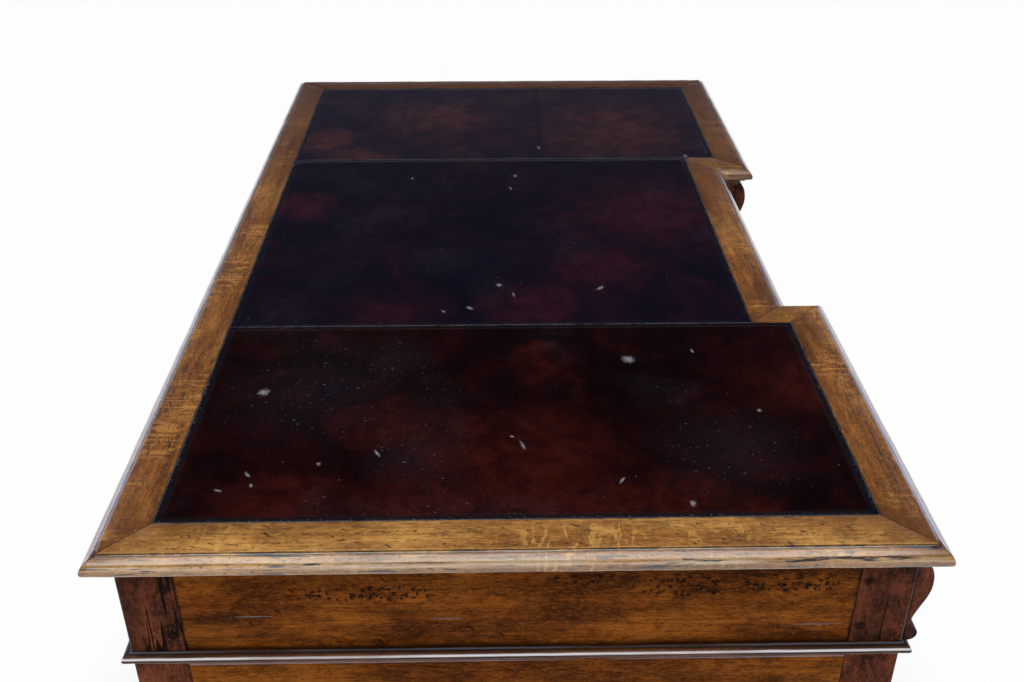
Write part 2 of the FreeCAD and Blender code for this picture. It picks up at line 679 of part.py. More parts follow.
def make_drawers():
    """Nine drawers: one in the middle of the frieze, and four at each side."""
    centre = make_drawer((-KNEE_X, KNEE_X), -RECESS_Y, FRIEZE_OPENING)
    nodes = {"centre_frieze_drawer_" + piece: shapes for piece, shapes in centre.items()}
    openings = dict(zip(("bottom", "middle", "top"), pedestal_openings()))
    openings["frieze"] = FRIEZE_OPENING
    for level, opening_z in openings.items():
        drawer = make_drawer(BETWEEN_POSTS_X, -CARCASS_Y, opening_z)
        for side in ("left", "right"):
            for piece, shapes in drawer.items():
                nodes[side + "_" + level + "_drawer_" + piece] = on_side(side, shapes)
    return nodes


# The whole desk

def make_desk():
    nodes = make_top()
    frieze, pegs = make_frieze()
    nodes.update(frieze)
    pedestal, waist = make_pedestal()
    for side in ("left", "right"):
        for name, shapes in pedestal.items():
            nodes[side + "_" + name] = on_side(side, shapes)
    nodes["waist_mouldings"] = both_sides(waist)
    nodes["joint_pegs"] = pegs
    nodes.update(make_drawers())
    return nodes


def main():
    os.makedirs("parts", exist_ok=True)
    nodes = make_desk()
    for name, shapes in nodes.items():
        whole = shapes[0] if len(shapes) == 1 else Part.makeCompound(shapes)
        whole.exportStep("parts/" + name + ".step")
    solids = sum(len(shapes) for shapes in nodes.values())
    print(len(nodes), "nodes of", solids, "solids")


main()
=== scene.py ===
# %% [markdown]
# # An old oak pedestal desk
# This lesson dresses the solids of a pedestal desk as the real one looks: a top of mitred oak boards
# round three pieces of oxblood leather, a frieze with drawers, and two panelled pedestals.

# %% Load the solids
import json
import math

import bmesh
import bpy
from mathutils import Matrix, Vector, noise

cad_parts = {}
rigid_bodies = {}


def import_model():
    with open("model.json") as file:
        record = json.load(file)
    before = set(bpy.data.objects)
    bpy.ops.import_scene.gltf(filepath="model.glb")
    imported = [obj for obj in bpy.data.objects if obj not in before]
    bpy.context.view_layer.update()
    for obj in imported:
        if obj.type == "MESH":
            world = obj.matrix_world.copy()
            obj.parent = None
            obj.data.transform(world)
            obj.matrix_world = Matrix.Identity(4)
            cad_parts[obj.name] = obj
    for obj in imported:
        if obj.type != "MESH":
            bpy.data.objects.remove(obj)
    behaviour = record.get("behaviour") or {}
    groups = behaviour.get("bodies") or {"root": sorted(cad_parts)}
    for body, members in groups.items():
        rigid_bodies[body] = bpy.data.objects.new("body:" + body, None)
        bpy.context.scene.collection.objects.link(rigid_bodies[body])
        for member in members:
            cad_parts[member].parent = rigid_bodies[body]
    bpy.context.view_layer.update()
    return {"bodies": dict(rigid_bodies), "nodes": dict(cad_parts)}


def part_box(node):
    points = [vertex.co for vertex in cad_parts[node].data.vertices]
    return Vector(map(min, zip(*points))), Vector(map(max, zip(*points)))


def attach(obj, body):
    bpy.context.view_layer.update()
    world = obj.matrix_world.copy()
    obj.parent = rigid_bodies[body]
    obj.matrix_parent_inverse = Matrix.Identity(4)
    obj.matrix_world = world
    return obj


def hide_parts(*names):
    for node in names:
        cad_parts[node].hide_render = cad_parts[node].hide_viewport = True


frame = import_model()

# %% [markdown]
# ## The camera
# The desk is seen from above its left end, looking along its length. The three axes of the camera were
# worked out from the corners of the top, so they are given as a turned frame rather than as a target to
# look at.

# %% Camera
CAMERA_PLACE = Vector((-1.6540, 0.0250, 1.5491))
CAMERA_RIGHT = Vector((-0.019037, -0.999819, 0.000661))
CAMERA_UP = Vector((0.511025, -0.009162, 0.859517))
CAMERA_BACK = Vector((-0.859355, 0.016701, 0.511107))


def add_object(name, data):
    made = bpy.data.objects.new(name, data)
    bpy.context.scene.collection.objects.link(made)
    return made


lens = bpy.data.cameras.new("camera")
lens.lens = 39.527
lens.sensor_fit = "HORIZONTAL"
lens.sensor_width = 36.0
camera = add_object("camera", lens)
turn = Matrix((CAMERA_RIGHT, CAMERA_UP, CAMERA_BACK)).transposed()
camera.matrix_world = Matrix.Translation(CAMERA_PLACE) @ turn.to_4x4()
bpy.context.scene.camera = camera
bpy.context.scene.view_settings.view_transform = "Standard"
print("camera at", tuple(CAMERA_PLACE))

# %% [markdown]
# ## A short vocabulary for finishes
# A finish is a small graph of nodes. Written out in full, every node takes several lines, so a finish
# here is mixed with a few plain words: cloud for soft noise, spots for round marks, ease for a soft
# threshold and mark for laying a colour over what is there. Stains are written as they look on a screen.


# %% Words for mixing a finish
def stain(red, green, blue):
    """A colour as it looks on a screen, 0 to 255, in the linear light that shaders use."""
    channels = []
    for value in (red, green, blue):
        share = value / 255
        channels.append(share / 12.92 if share <= 0.04045 else ((share + 0.055) / 1.055) ** 2.4)
    return (*channels, 1.0)


FAR = 1e6


class Finish:
    """A material that is being mixed. Patterns sit on the piece's own object coordinates."""

    def __init__(self, name):
        self.material = bpy.data.materials.new(name)
        self.start(self.material, "Object")
        self.shader = self.tree.nodes["Principled BSDF"]

    def start(self, owner, coordinates):
        owner.use_nodes = True
        self.tree = owner.node_tree
        self.place = self.put("TexCoord", {}).outputs[coordinates]

    def put(self, kind, inputs, **settings):
        node = self.tree.nodes.new("ShaderNode" + kind)
        for key, value in settings.items():
            setattr(node, key, value)
        for key, value in inputs.items():
            self.feed(node.inputs[key], value)
        return node

    def feed(self, socket, value):
        if isinstance(value, bpy.types.NodeSocket):
            self.tree.links.new(value, socket)
        else:
            socket.default_value = value

    def sum(self, operation, first, second=0.0):
        return self.put("Math", {0: first, 1: second}, operation=operation).outputs[0]

    def plus(self, first, second):
        return self.sum("ADD", first, second)

    def times(self, first, *others):
        for other in others:
            first = self.sum("MULTIPLY", first, other)
        return first

    def most(self, first, *others):
        for other in others:
            first = self.sum("MAXIMUM", first, other)
        return first

    def size(self, value):
        return self.sum("ABSOLUTE", value)

    def axis(self, name, where=None):
        return self.put("SeparateXYZ", {"Vector": where or self.place}).outputs[name]

    def facing(self, name):
        """How squarely a face points along one axis, either way."""
        return self.size(self.axis(name, self.put("NewGeometry", {}).outputs["True Normal"]))

    def painted(self, name):
        """A number that the piece's own mesh carries."""
        return self.put("Attribute", {}, attribute_name=name).outputs["Fac"]

    def stretch(self, scale=(1, 1, 1), shift=(0, 0, 0), turn=(0, 0, 0), where=None):
        return self.put("Mapping", {"Vector": where or self.place, "Scale": scale, "Location": shift,
                                    "Rotation": turn}).outputs[0]

    def reach(self, centre, size, angle=0.0):
        """How far from a spot, in units of the spot's own size. An axis with the size FAR doesn't count."""
        local = self.put("Mapping", {"Vector": self.place, "Location": centre, "Scale": size,
                                     "Rotation": (0, 0, angle)}, vector_type="TEXTURE").outputs[0]
        return self.put("VectorMath", {0: local}, operation="LENGTH").outputs["Value"]

    def cloud(self, where, scale, detail=3.0, roughness=0.5, twist=0.0):
        return self.put("TexNoise", {"Vector": where, "Scale": scale, "Detail": detail,
                                     "Roughness": roughness, "Distortion": twist}).outputs[0]

    def cells(self, where, scale, kind="3D"):
        """Random cells. The 2D kind looks at the first two axes alone."""
        return self.put("TexVoronoi", {"Vector": where, "Scale": scale}, voronoi_dimensions=kind).outputs

    def ease(self, value, low, high):
        """A soft threshold: from 0 at low to 1 at high, which may be the smaller of the two."""
        return self.put("MapRange", {"Value": value, "From Min": low, "From Max": high},
                        interpolation_type="SMOOTHSTEP").outputs[0]

    def between(self, value, low, high):
        """From low to high as the value goes from 0 to 1."""
        return self.put("MapRange", {"Value": value, "To Min": low, "To Max": high}).outputs[0]

    def wobble(self, noise, size):
        """Noise as an amount to either side of nothing."""
        return self.times(self.sum("SUBTRACT", noise, 0.5), size)

    def line(self, value, level, width, core):
        """A soft line where a value passes a level: full within core of it and gone at width."""
        return self.ease(self.size(self.sum("SUBTRACT", value, level)), width, core)

    def spots(self, where, scale, share, size, kind="3D"):
        """Round marks in a share of the cells."""
        cells = self.cells(where, scale, kind)
        chosen = self.ease(cells["Color"], 1 - share, 1 - share + 0.02)
        return self.times(self.ease(cells["Distance"], size, size * 0.4), chosen)

    def tint(self, amount, under, over):
        return self.put("Mix", {0: amount, 6: under, 7: over}, data_type="RGBA").outputs[2]

    def mark(self, mask, amount, colour, rise=0.0):
        """Lays a colour where the mask is, and sinks or raises the surface there."""
        self.colour = self.tint(self.times(mask, amount), self.colour, colour)
        if rise:
            self.height = self.plus(self.height, self.times(mask, rise))

    def done(self, roughness, strength, depth):
        bump = self.put("Bump", {"Height": self.height, "Strength": strength, "Distance": depth})
        self.feed(self.shader.inputs["Base Color"], self.colour)
        self.feed(self.shader.inputs["Roughness"], roughness)
        self.feed(self.shader.inputs["Normal"], bump.outputs["Normal"])
        return self.material


print("finish words ready")

# %% [markdown]
# ## Oak
# Old oak is never one colour. Each board has growth bands and finer lines along its grain, open pores
# that hold dark wax, and on quarter-sawn boards pale ray flecks across the grain. Over that come pits,
# scratches and arrises worn pale. The grain is noise squeezed along one axis, so the same recipe serves
# boards that run lengthwise, crosswise or upright, and a recipe of stains tells the golden border from
# the dark frame.

# %% Oak recipes
OAK_USUAL = dict(drawn=0.10, mottle=0.3, lines=0.5, pores=0.5, flames=0.0, bars=0.0, dashes=0.3, pits=0.0,
                 scratches=0.3, splits=0.0, worn=0.4, arris="pale")


def oak_recipe(dark, middle, pale, deep, **shares):
    """Four stains, and how much of each kind of mark a board shows."""
    tones = zip(("dark", "middle", "pale", "deep"), (dark, middle, pale, deep))
    return OAK_USUAL | {name: stain(*tone) for name, tone in tones} | shares


OAK_RECIPES = {
    "border": oak_recipe((82, 45, 17), (136, 83, 35), (186, 130, 67), (30, 17, 10), mottle=0.35, flames=0.5,
                         bars=0.5, dashes=0.45, pits=0.12, scratches=0.5, worn=0.25),
    "end_border": oak_recipe((104, 62, 23), (158, 106, 49), (206, 154, 82), (30, 18, 12), drawn=0.12,
                             mottle=0.5, flames=0.5, bars=0.12, dashes=0.55, pits=0.25, scratches=0.8),
    "frame": oak_recipe((34, 18, 13), (104, 54, 35), (160, 88, 56), (11, 7, 8), drawn=0.45, mottle=0.7,
                        lines=0.2, pores=0.15, flames=0.1, dashes=0.0, pits=0.06, splits=0.95, worn=0.75,
                        arris="deep"),
    "board": oak_recipe((62, 27, 4), (121, 62, 16), (172, 100, 32), (16, 8, 4), drawn=0.28, mottle=0.6,
                        lines=0.4, pores=0.45, flames=0.12, bars=0.03, pits=0.16, scratches=0.4, splits=0.2,
                        worn=0.6, arris="deep"),
    "moulding": oak_recipe((46, 25, 14), (82, 46, 25), (128, 82, 48), (14, 8, 6), mottle=0.4, pores=0.3,
                           flames=0.1, pits=0.08),
    "knob": oak_recipe((44, 22, 12), (72, 38, 20), (104, 60, 32), (18, 10, 8), pores=0.3, dashes=0.2,
                       pits=0.05, scratches=0.2, worn=0.3),
    "peg": oak_recipe((26, 15, 12), (36, 21, 16), (54, 33, 25), (12, 8, 6), drawn=0.20, lines=0.4, pores=0.2,
                      dashes=0.2, scratches=0.0, worn=0.2),
    "inside": oak_recipe((120, 86, 52), (152, 114, 72), (178, 140, 96), (70, 46, 28)),
}


def squeezed(along, share):
    """Scales that draw a pattern out along one axis."""
    return tuple(share if axis == along else 1.0 for axis in "xyz")


print("oak recipes:", ", ".join(OAK_RECIPES))

# %% [markdown]
# The layers come in the order in which they came to the real board: growth first, then what use and dirt
# added. Each layer is a mask with a stain, and some of them sink into the surface as well.


# %% Oak in layers
class Oak(Finish):
    """Oak with its grain along one axis, mixed in layers so that a piece can add marks of its own."""

    def __init__(self, recipe, along, shift=0.0):
        super().__init__("oak_" + recipe + "_" + along)
        self.recipe = OAK_RECIPES[recipe]
        self.along = along
        self.offset = (shift, shift * 0.7, shift * 1.3)
        self.lines = self.cloud(self.grain(0.03), 260, 4, 0.65)
        self.pores = self.ease(self.cloud(self.grain(0.09), 620, 2, 0.6), 0.56, 0.66)
        self.height = self.times(self.lines, 0.5)
        self.add_bands()
        self.add_flecks()
        self.add_pores()
        self.add_scratches()
        self.add_splits()

    def grain(self, share):
        return self.stretch(squeezed(self.along, share), self.offset)

    def mark(self, mask, amount, colour, rise=0.0):
        """As for any finish, but a colour may also be the name of one of the recipe's stains."""
        super().mark(mask, amount, self.recipe.get(colour, colour), rise)

    def add_bands(self):
        bands = self.cloud(self.grain(self.recipe["drawn"]), 38, 6, 0.7, 0.8)
        self.colour = self.tint(self.ease(bands, 0.36, 0.62), self.recipe["dark"], self.recipe["middle"])
        broad = self.cloud(self.grain(0.35), 13, 5, 0.65)
        self.mark(self.ease(broad, 0.45, 0.66), 0.65, "pale")
        self.mark(self.ease(self.lines, 0.46, 0.62), self.recipe["lines"], "dark")
        grime = self.cloud(self.grain(0.6), 10, 6, 0.7)
        self.mark(self.ease(grime, 0.52, 0.72), 0.55, "dark")
        mottle = self.cloud(self.grain(0.55), 48, 6, 0.75)
        self.mark(self.ease(mottle, 0.50, 0.64), self.recipe["mottle"], "dark")
        speckle = self.cloud(self.grain(0.3), 560, 3, 0.75)
        self.mark(self.ease(speckle, 0.50, 0.64), 0.38, "dark")
        self.mark(self.ease(speckle, 0.48, 0.36), 0.32, "pale")

    def add_flecks(self):
        """Rays: broad pale flames and short bars across the grain."""
        where = self.ease(self.cloud(self.place, 9, 3), 0.46, 0.60)
        for kind, share, scale, low, high in (("flames", 0.35, 62, 0.53, 0.62),
                                              ("bars", 0.10, 110, 0.555, 0.605)):
            across = tuple(1.0 if axis == self.along else share for axis in "xyz")
            rays = self.cloud(self.stretch(across, self.offset), scale, 3, 0.55, 1.6)
            self.mark(self.times(self.ease(rays, low, high), where), self.recipe[kind], "pale", 0.1)

    def add_pores(self):
        self.mark(self.pores, self.recipe["pores"], "deep", -0.5)
        dashes = self.ease(self.cloud(self.grain(0.2), 250, 2, 0.6), 0.60, 0.68)
        self.mark(dashes, self.recipe["dashes"], "deep", -0.7)
        self.mark(self.spots(self.place, 120, self.recipe["pits"], 0.15), 0.9, "deep", -1.2)

    def add_scratches(self):
        for angle, level in ((0.5, 0.765), (-0.35, 0.770)):
            turned = self.stretch(turn=(angle, angle * 0.8, angle))
            drawn = self.stretch(squeezed(self.along, 0.045), where=turned)
            lines = self.ease(self.cloud(drawn, 330, 0, 0.5), level, level + 0.03)
            self.mark(lines, self.recipe["scratches"], "deep", -0.6)

    def add_splits(self):
        """Drying splits follow the grain: the thin lines where a drawn-out cloud passes its middle value."""
        if not self.recipe["splits"]:
            return
        line = self.line(self.cloud(self.grain(0.07), 30, 2, 0.5), 0.5, 0.013, 0.004)
        where = self.ease(self.cloud(self.grain(0.4), 16, 2), 0.50, 0.56)
        self.mark(self.times(line, where), self.recipe["splits"], "deep", -2.0)

    def wear_arrises(self):
        """Bevelled edges carry the number arris. They are rubbed pale in places, or hold dirt in joints."""
        wear_and_highlight_breakup = self.ease(self.cloud(self.place, 24, 3), 0.35, 0.6)
        self.mark(self.times(self.painted("arris"), wear_and_highlight_breakup), self.recipe["worn"], self.recipe["arris"])

    def waxed(self, low=0.40, high=0.60, gloss=0.03, relief=0.4):
        rough = self.plus(self.between(self.cloud(self.place, 35, 3), low, high), self.times(self.pores, 0.2))
        self.shader.inputs["Specular IOR Level"].default_value = gloss
        return self.done(rough, strength=relief, depth=0.0010)


print("oak layers ready")

# %% [markdown]
# ## Plain oak finishes
# Most pieces share a finish with their neighbours, one for each way the grain can run. They are mixed
# once here and looked up by recipe and grain.

# %% Plain oak finishes
oaks = {}
for recipe, runs in (("frame", "xyz"), ("board", "xz"), ("moulding", "xy"), ("knob", "y"), ("peg", "x")):
    for run in runs:
        oak = Oak(recipe, run, 0.37 * len(oaks))
        oak.wear_arrises()
        oaks[recipe, run] = oak.waxed(0.24, 0.42, 0.15) if recipe in ("moulding", "knob") else oak.waxed()
print("finishes:", [finish.name for finish in oaks.values()])

# %% [markdown]
# The linings of drawers were never waxed. Their sides run front to back and their backs and bottoms run
# across, so this finish looks at which way a face points and turns the grain to suit: one finish serves a
# whole box.


# %% Unwaxed oak for the linings
def lining_oak():
    """Dry oak whose grain runs along y on faces that point along x, and along x elsewhere."""
    finish = Finish("oak_inside")
    recipe = OAK_RECIPES["inside"]
    side = finish.ease(finish.facing("X"), 0.4, 0.6)
    layers = []
    for scale, detail, share in ((36, 5, 0.05), (330, 3, 0.02), (900, 1, 0.04)):
        crosswise = finish.cloud(finish.stretch(squeezed("x", share)), scale, detail, 0.6)
        lengthwise = finish.cloud(finish.stretch(squeezed("y", share)), scale, detail, 0.6)
        layers.append(finish.put("Mix", {0: side, 2: crosswise, 3: lengthwise}).outputs[0])
    bands, lines, pores = layers
    dark_pores = finish.ease(pores, 0.6, 0.7)
    finish.colour = finish.tint(finish.ease(bands, 0.3, 0.7), recipe["dark"], recipe["pale"])
    finish.height = finish.sum("SUBTRACT", lines, dark_pores)
    finish.mark(finish.ease(lines, 0.45, 0.75), 0.5, recipe["middle"])
    finish.mark(dark_pores, 0.6, recipe["deep"])
    finish.mark(finish.ease(finish.cloud(finish.place, 7, 4, 0.6), 0.5, 0.75), 0.35, recipe["deep"])
    return finish.done(finish.between(lines, 0.62, 0.85), strength=0.3, depth=0.0006)


oaks["inside", "xy"] = lining_oak()
print("linings:", oaks["inside", "xy"].name)

# %% [markdown]
# ## Boards with worn edges
# A sawn board has sharp arrises only on the day it is made. Every board here is a block whose edges are
# bevelled, cut into slices along its length and then rubbed back a little by noise, always inwards, so
# the light breaks along its edges and the piece stays inside its solid. The bevelled faces are marked for
# the finish to find.

# %% Helpers for boards
ARRIS = 0.0008
RUB = 0.00035
RUB_SCALE = 45.0
DENT_SCALE = 2.7
DENT_SHIFT = Vector((7, 3, 5))
SLICE_SHIFT = 0.0003


def bevel_arrises(bm, edges, width):
    mark = bm.faces.layers.float.get("arris") or bm.faces.layers.float.new("arris")
    made = bmesh.ops.bevel(bm, geom=edges, offset=width, offset_type="OFFSET", segments=2, profile=0.5,
                           affect="EDGES", clamp_overlap=True, material=-1)
    for face in made["faces"]:
        face[mark] = 1.0


def sharp_edges(bm, degrees=28):
    limit = math.radians(degrees)
    return [edge for edge in bm.edges if edge.is_manifold and edge.calc_face_angle() > limit]


def everything(bm):
    return bm.verts[:] + bm.edges[:] + bm.faces[:]


def slice_along(bm, axis, step):
    """Cuts across one axis, so that a long board has points to rub back."""
    places = [vert.co[axis] for vert in bm.verts]
    across = Vector((axis == 0, axis == 1, axis == 2))
    for number in range(math.ceil(min(places) / step), math.floor(max(places) / step) + 1):
        bmesh.ops.bisect_plane(bm, geom=everything(bm), dist=1e-6, plane_no=across,
                               plane_co=across * (number * step + SLICE_SHIFT))


def rub_back(bm, depth=RUB):
    """Sinks the surface by noise: broad low spots, and fewer dents."""
    bm.normal_update()
    for vert in bm.verts:
        low_spot = max(0.0, noise.noise(vert.co * RUB_SCALE) + 0.25)
        dent = max(0.0, noise.noise(vert.co * RUB_SCALE * DENT_SCALE + DENT_SHIFT) - 0.35)
        vert.co -= vert.normal * depth * (low_spot + 2.5 * dent)


print("arris", ARRIS, "m, rubbed back up to", RUB, "m")

# %% [markdown]
# A finished mesh becomes a piece: it rides on a body and stands for the CAD nodes that it hides. Where a
# solid has the right shape already, a copy of it is merged, its flat faces are made whole again, and only
# its edges are worn.


# %% Pieces
def make_piece(name, bm, finish, slot, body, *nodes):
    """Turns a bmesh into a piece that rides on a body and stands for CAD nodes."""
    mesh = bpy.data.meshes.new(name)
    bm.to_mesh(mesh)
    bm.free()
    mesh.shade_smooth()
    mesh.set_sharp_from_angle(angle=math.radians(38))
    for coat in finish if isinstance(finish, list) else [finish]:
        mesh.materials.append(coat)
    piece = add_object(name, mesh)
    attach(piece, body)
    if nodes:
        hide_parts(*nodes)
    return piece


def solid_copy(node):
    """A CAD node's triangles as closed solids, with flat faces made whole again."""
    bm = bmesh.new()
    bm.from_mesh(frame["nodes"][node].data)
    bmesh.ops.remove_doubles(bm, verts=bm.verts, dist=1e-6)
    bmesh.ops.dissolve_limit(bm, angle_limit=math.radians(1), verts=bm.verts, edges=bm.edges)
    return bm


def worn_copy(node, finish, slot, body, axis, width=ARRIS, step=0.05, fold=28):
    """A CAD node with bevelled and rubbed arrises, in its own place. Edges that fold more are arrises."""
    bm = solid_copy(node)
    bevel_arrises(bm, sharp_edges(bm, fold), width)
    slice_along(bm, axis, step)
    rub_back(bm)
    make_piece(node + "_worn", bm, finish, slot, body, node)


print("piece helpers ready")

# %% [markdown]
# ## Mitred strips
# The border of the top, the mouldings and the plinths are all strips that run round an outline and meet
# at mitres. Each starts as its section, is extruded past both ends and is cut back along the two mitre
# planes. The plane at a corner holds both the corner and the sum of the two inward directions, so it is
# right at the steps of the recess too, where the corner points inwards.

# %% Helpers for mitred strips
OVERSHOOT = 0.08
STRIP_STEP = 0.02


def new_points(made):
    """The points among what an operator has made."""
    return [item for item in made["geom"] if isinstance(item, bmesh.types.BMVert)]


def draw_out(bm, ring, way):
    """A bar whose end is a ring of points, drawn out in one direction."""
    end = bm.faces.new([bm.verts.new(point) for point in ring])
    made = bmesh.ops.extrude_face_region(bm, geom=[end])
    bmesh.ops.translate(bm, verts=new_points(made), vec=way)


def cut_off(bm, place, outwards):
    """Removes what lies beyond a plane and closes the cut."""
    cut = bmesh.ops.bisect_plane(bm, geom=everything(bm), dist=1e-7, plane_co=place, plane_no=outwards,
                                 clear_outer=True)
    rim = [item for item in cut["geom_cut"] if isinstance(item, bmesh.types.BMEdge)]
    bmesh.ops.edgeloop_fill(bm, edges=rim)


def pour(shape, bm):
    """Adds a bmesh to another and frees it."""
    mesh = bpy.data.meshes.new("poured")
    shape.to_mesh(mesh)
    shape.free()
    bm.from_mesh(mesh)
    bpy.data.meshes.remove(mesh)


def inward(start, end):
    along = (end - start).normalized()
    return Vector((-along.y, along.x, 0))


def add_strip(bm, outline, number, section, width=ARRIS, nose=0.0, rub=RUB):
    """The strip on one side of a closed outline. A section is points (inwards, up) in metres. Faces nearer to
    the edge than nose take the second finish."""
    before, start, end, after = (outline[(number + i) % len(outline)] for i in (-1, 0, 1, 2))
    along, across = (end - start).normalized(), inward(start, end)
    foot = start - along * OVERSHOOT
    strip = bmesh.new()
    edge_distance = strip.verts.layers.float.new("from_edge")
    mitre_distance = strip.verts.layers.float.new("from_mitre")
    draw_out(strip, [foot + across * u + Vector((0, 0, z)) for u, z in section],
             along * ((end - start).length + 2 * OVERSHOOT))
    mitres = []
    for corner, neighbour, way in ((start, inward(before, start), -along), (end, inward(end, after), along)):
        mitre = across + neighbour
        plane = Vector((mitre.y, -mitre.x, 0)).normalized()
        plane *= math.copysign(1, plane.dot(way))
        cut_off(strip, corner, plane)
        mitres.append((corner, plane))
    bmesh.ops.recalc_face_normals(strip, faces=strip.faces)
    bevel_arrises(strip, sharp_edges(strip), width)
    slice_along(strip, 0 if abs(along.x) > 0.5 else 1, STRIP_STEP)
    for vert in strip.verts:
        vert[edge_distance] = (vert.co - start).dot(across)
        vert[mitre_distance] = min((corner - vert.co).dot(plane) for corner, plane in mitres)
    if nose:
        for face in strip.faces:
            face.material_index = int(all(vert[edge_distance] < nose for vert in face.verts))
    rub_back(strip, rub)
    pour(strip, bm)


def quarter_round(start, end, corner, steps=8):
    """Points of a circular arc from start to end that bulges towards their corner."""
    points = []
    for step in range(1, steps):
        angle = math.pi / 2 * step / steps
        rise, run = math.sin(angle), 1 - math.cos(angle)
        points.append(tuple(s + (c - s) * rise + (e - c) * run for s, e, c in zip(start, end, corner)))
    return points


print("strips overshoot their mitres by", OVERSHOOT, "m before they are cut")

# %% [markdown]
# ## The border of the top
# Eight boards frame the leather. Each has an upright quirk, then a thumb moulding that falls to a nose.
# Dirt lies in the quirk and wax builds up against the leather, while the arris of the quirk is rubbed
# bright, so the strip carries its distance from the edge as a number, and the finish draws those lines
# from it.

# %% Border finish
QUIRK_PLACE = 0.015
BORDER_WIDTH = 0.062


def border_oak(recipe, along, shift):
    """Golden oak with dirt in the quirk, beside the leather and at the mitres, and darker to the far end,
    partly as the tone of the far boards and partly as painted shade.
    """
    oak = Oak(recipe, along, shift)
    from_mitre, from_edge = oak.painted("from_mitre"), oak.painted("from_edge")
    dusk = oak.ease(oak.cloud(oak.place, 30, 5, 0.65), 0.30, 0.62)
    oak.mark(oak.times(oak.ease(from_mitre, 0.09, 0.0), dusk), 0.8, "dark")
    # Darker towards the far end: partly the far boards' tone, partly painted shade for the light that falls
    # off along the top.
    oak.mark(oak.ease(oak.axis("X"), -0.15, 0.80), 0.85, stain(72, 43, 28))
    broken = oak.ease(oak.cloud(oak.place, 60, 4, 0.6), 0.25, 0.55)
    for level, width, amount, colour in (
        (QUIRK_PLACE - 0.0010, 0.0020, 0.95, stain(34, 28, 28)),
        (QUIRK_PLACE + 0.0014, 0.0012, 0.15, stain(206, 170, 118)),
        (BORDER_WIDTH, 0.0020, 0.85, "deep"),
        (BORDER_WIDTH - 0.006, 0.006, 0.30, "dark"),
    ):
        oak.mark(oak.times(oak.line(from_edge, level, width, width * 0.35), broken), amount, colour)
    oak.wear_arrises()
    oak.mark(oak.ease(from_mitre, 0.0012, 0.0004), 0.5, "deep")
    return oak


def nose_oak(recipe, along, shift, wear_and_highlight_share, coat):
    """The moulded edge of a border board: handled and polished to shine like glass, nicked, and given a pale
    band that is partly wear and partly painted highlight.
    """
    oak = border_oak(recipe, along, shift)
    from_edge = oak.painted("from_edge")
    # Painted highlight: a pale band along the nose, partly worn wood and partly standing in for the light the
    # nose catches.
    pale_wear_and_highlight = oak.times(oak.ease(oak.cloud(oak.grain(0.04), 150, 4, 0.65), 0.40, 0.60),
                       oak.ease(from_edge, 0.0085, 0.0035), oak.ease(from_edge, 0.0, 0.0012))
    oak.mark(pale_wear_and_highlight, wear_and_highlight_share, stain(206, 182, 140), 0.1)
    nicks = oak.ease(oak.cloud(oak.grain(0.07), 210, 3, 0.6), 0.595, 0.65)
    oak.mark(nicks, 0.95, stain(34, 32, 38), -1.0)
    oak.shader.inputs["Coat Weight"].default_value = coat
    oak.shader.inputs["Coat IOR"].default_value = 1.7
    oak.shader.inputs["Coat Roughness"].default_value = 0.07
    return oak.waxed(0.16, 0.32, 0.5, 0.2)


print("quirk", QUIRK_PLACE, "m from the edge")

# %% [markdown]
# The boards are the two ends, the back, the two fronts, and the recess with its two short returns. All
# have one section, run round the outline of the top, and take two finishes: one for the flat and one for
# the nose. The near end and the returns are paler than the long boards, and the near end has the broadest
# pale band on its nose, partly wear and partly painted highlight.

# %% Border boards
TOP = 0.775
TOP_UNDERSIDE = 0.754
TOP_X = 0.785
TOP_Y = 0.450
TOP_RECESS_X = 0.246
TOP_RECESS_Y = 0.396
BORDER_RUB = 0.0006
NOSE_WIDTH = QUIRK_PLACE - 0.0002
BORDER_NOSE = (0.0, 0.7585)
BORDER_QUIRK = (QUIRK_PLACE, 0.7725)
BORDER_SECTION = [BORDER_QUIRK, (QUIRK_PLACE, TOP), (BORDER_WIDTH, TOP), (BORDER_WIDTH, TOP_UNDERSIDE),
                  (0.0030, TOP_UNDERSIDE), (0.0008, 0.7555), BORDER_NOSE]
BORDER_SECTION += quarter_round(BORDER_NOSE, BORDER_QUIRK, (BORDER_NOSE[0], BORDER_QUIRK[1]))
# A kind gives its recipe, the share of the pale nose band (partly wear, partly painted highlight) and the
# weight of its coat.
BORDER_KINDS = {"long": ("border", 0.12, 1.0), "return": ("end_border", 0.12, 0.25),
                "near": ("end_border", 0.50, 0.8)}


def breakfront(x, y, recess_x, recess_y):
    """A rectangle whose front is set back in the middle, anticlockwise from its front left corner."""
    return [Vector((a, b, 0)) for a, b in (
        (-x, -y), (-recess_x, -y), (-recess_x, -recess_y), (recess_x, -recess_y),
        (recess_x, -y), (x, -y), (x, y), (-x, y))]


top_outline = breakfront(TOP_X, TOP_Y, TOP_RECESS_X, TOP_RECESS_Y)
border_boards = (
    ("front_left", "top_front_boards", "x", "long"), ("left_return", "top_recess_boards", "y", "return"),
    ("recess", "top_recess_boards", "x", "long"), ("right_return", "top_recess_boards", "y", "return"),
    ("front_right", "top_front_boards", "x", "long"), ("right_end", "top_right_end_board", "y", "long"),
    ("back", "top_back_board", "x", "long"), ("left_end", "top_left_end_board", "y", "near"))
for number, (label, node, run, kind) in enumerate(border_boards):
    recipe, wear_and_highlight_share, coat = BORDER_KINDS[kind]
    shift = 0.61 * number
    board = bmesh.new()
    add_strip(board, top_outline, number, BORDER_SECTION, nose=NOSE_WIDTH, rub=BORDER_RUB)
    coats = [border_oak(recipe, run, shift).waxed(0.28, 0.46, 0.12),
             nose_oak(recipe, run, shift, wear_and_highlight_share, coat)]
    make_piece("border_" + label, board, coats, "oak_border", "carcass", node)
print("border boards:", len(border_boards))

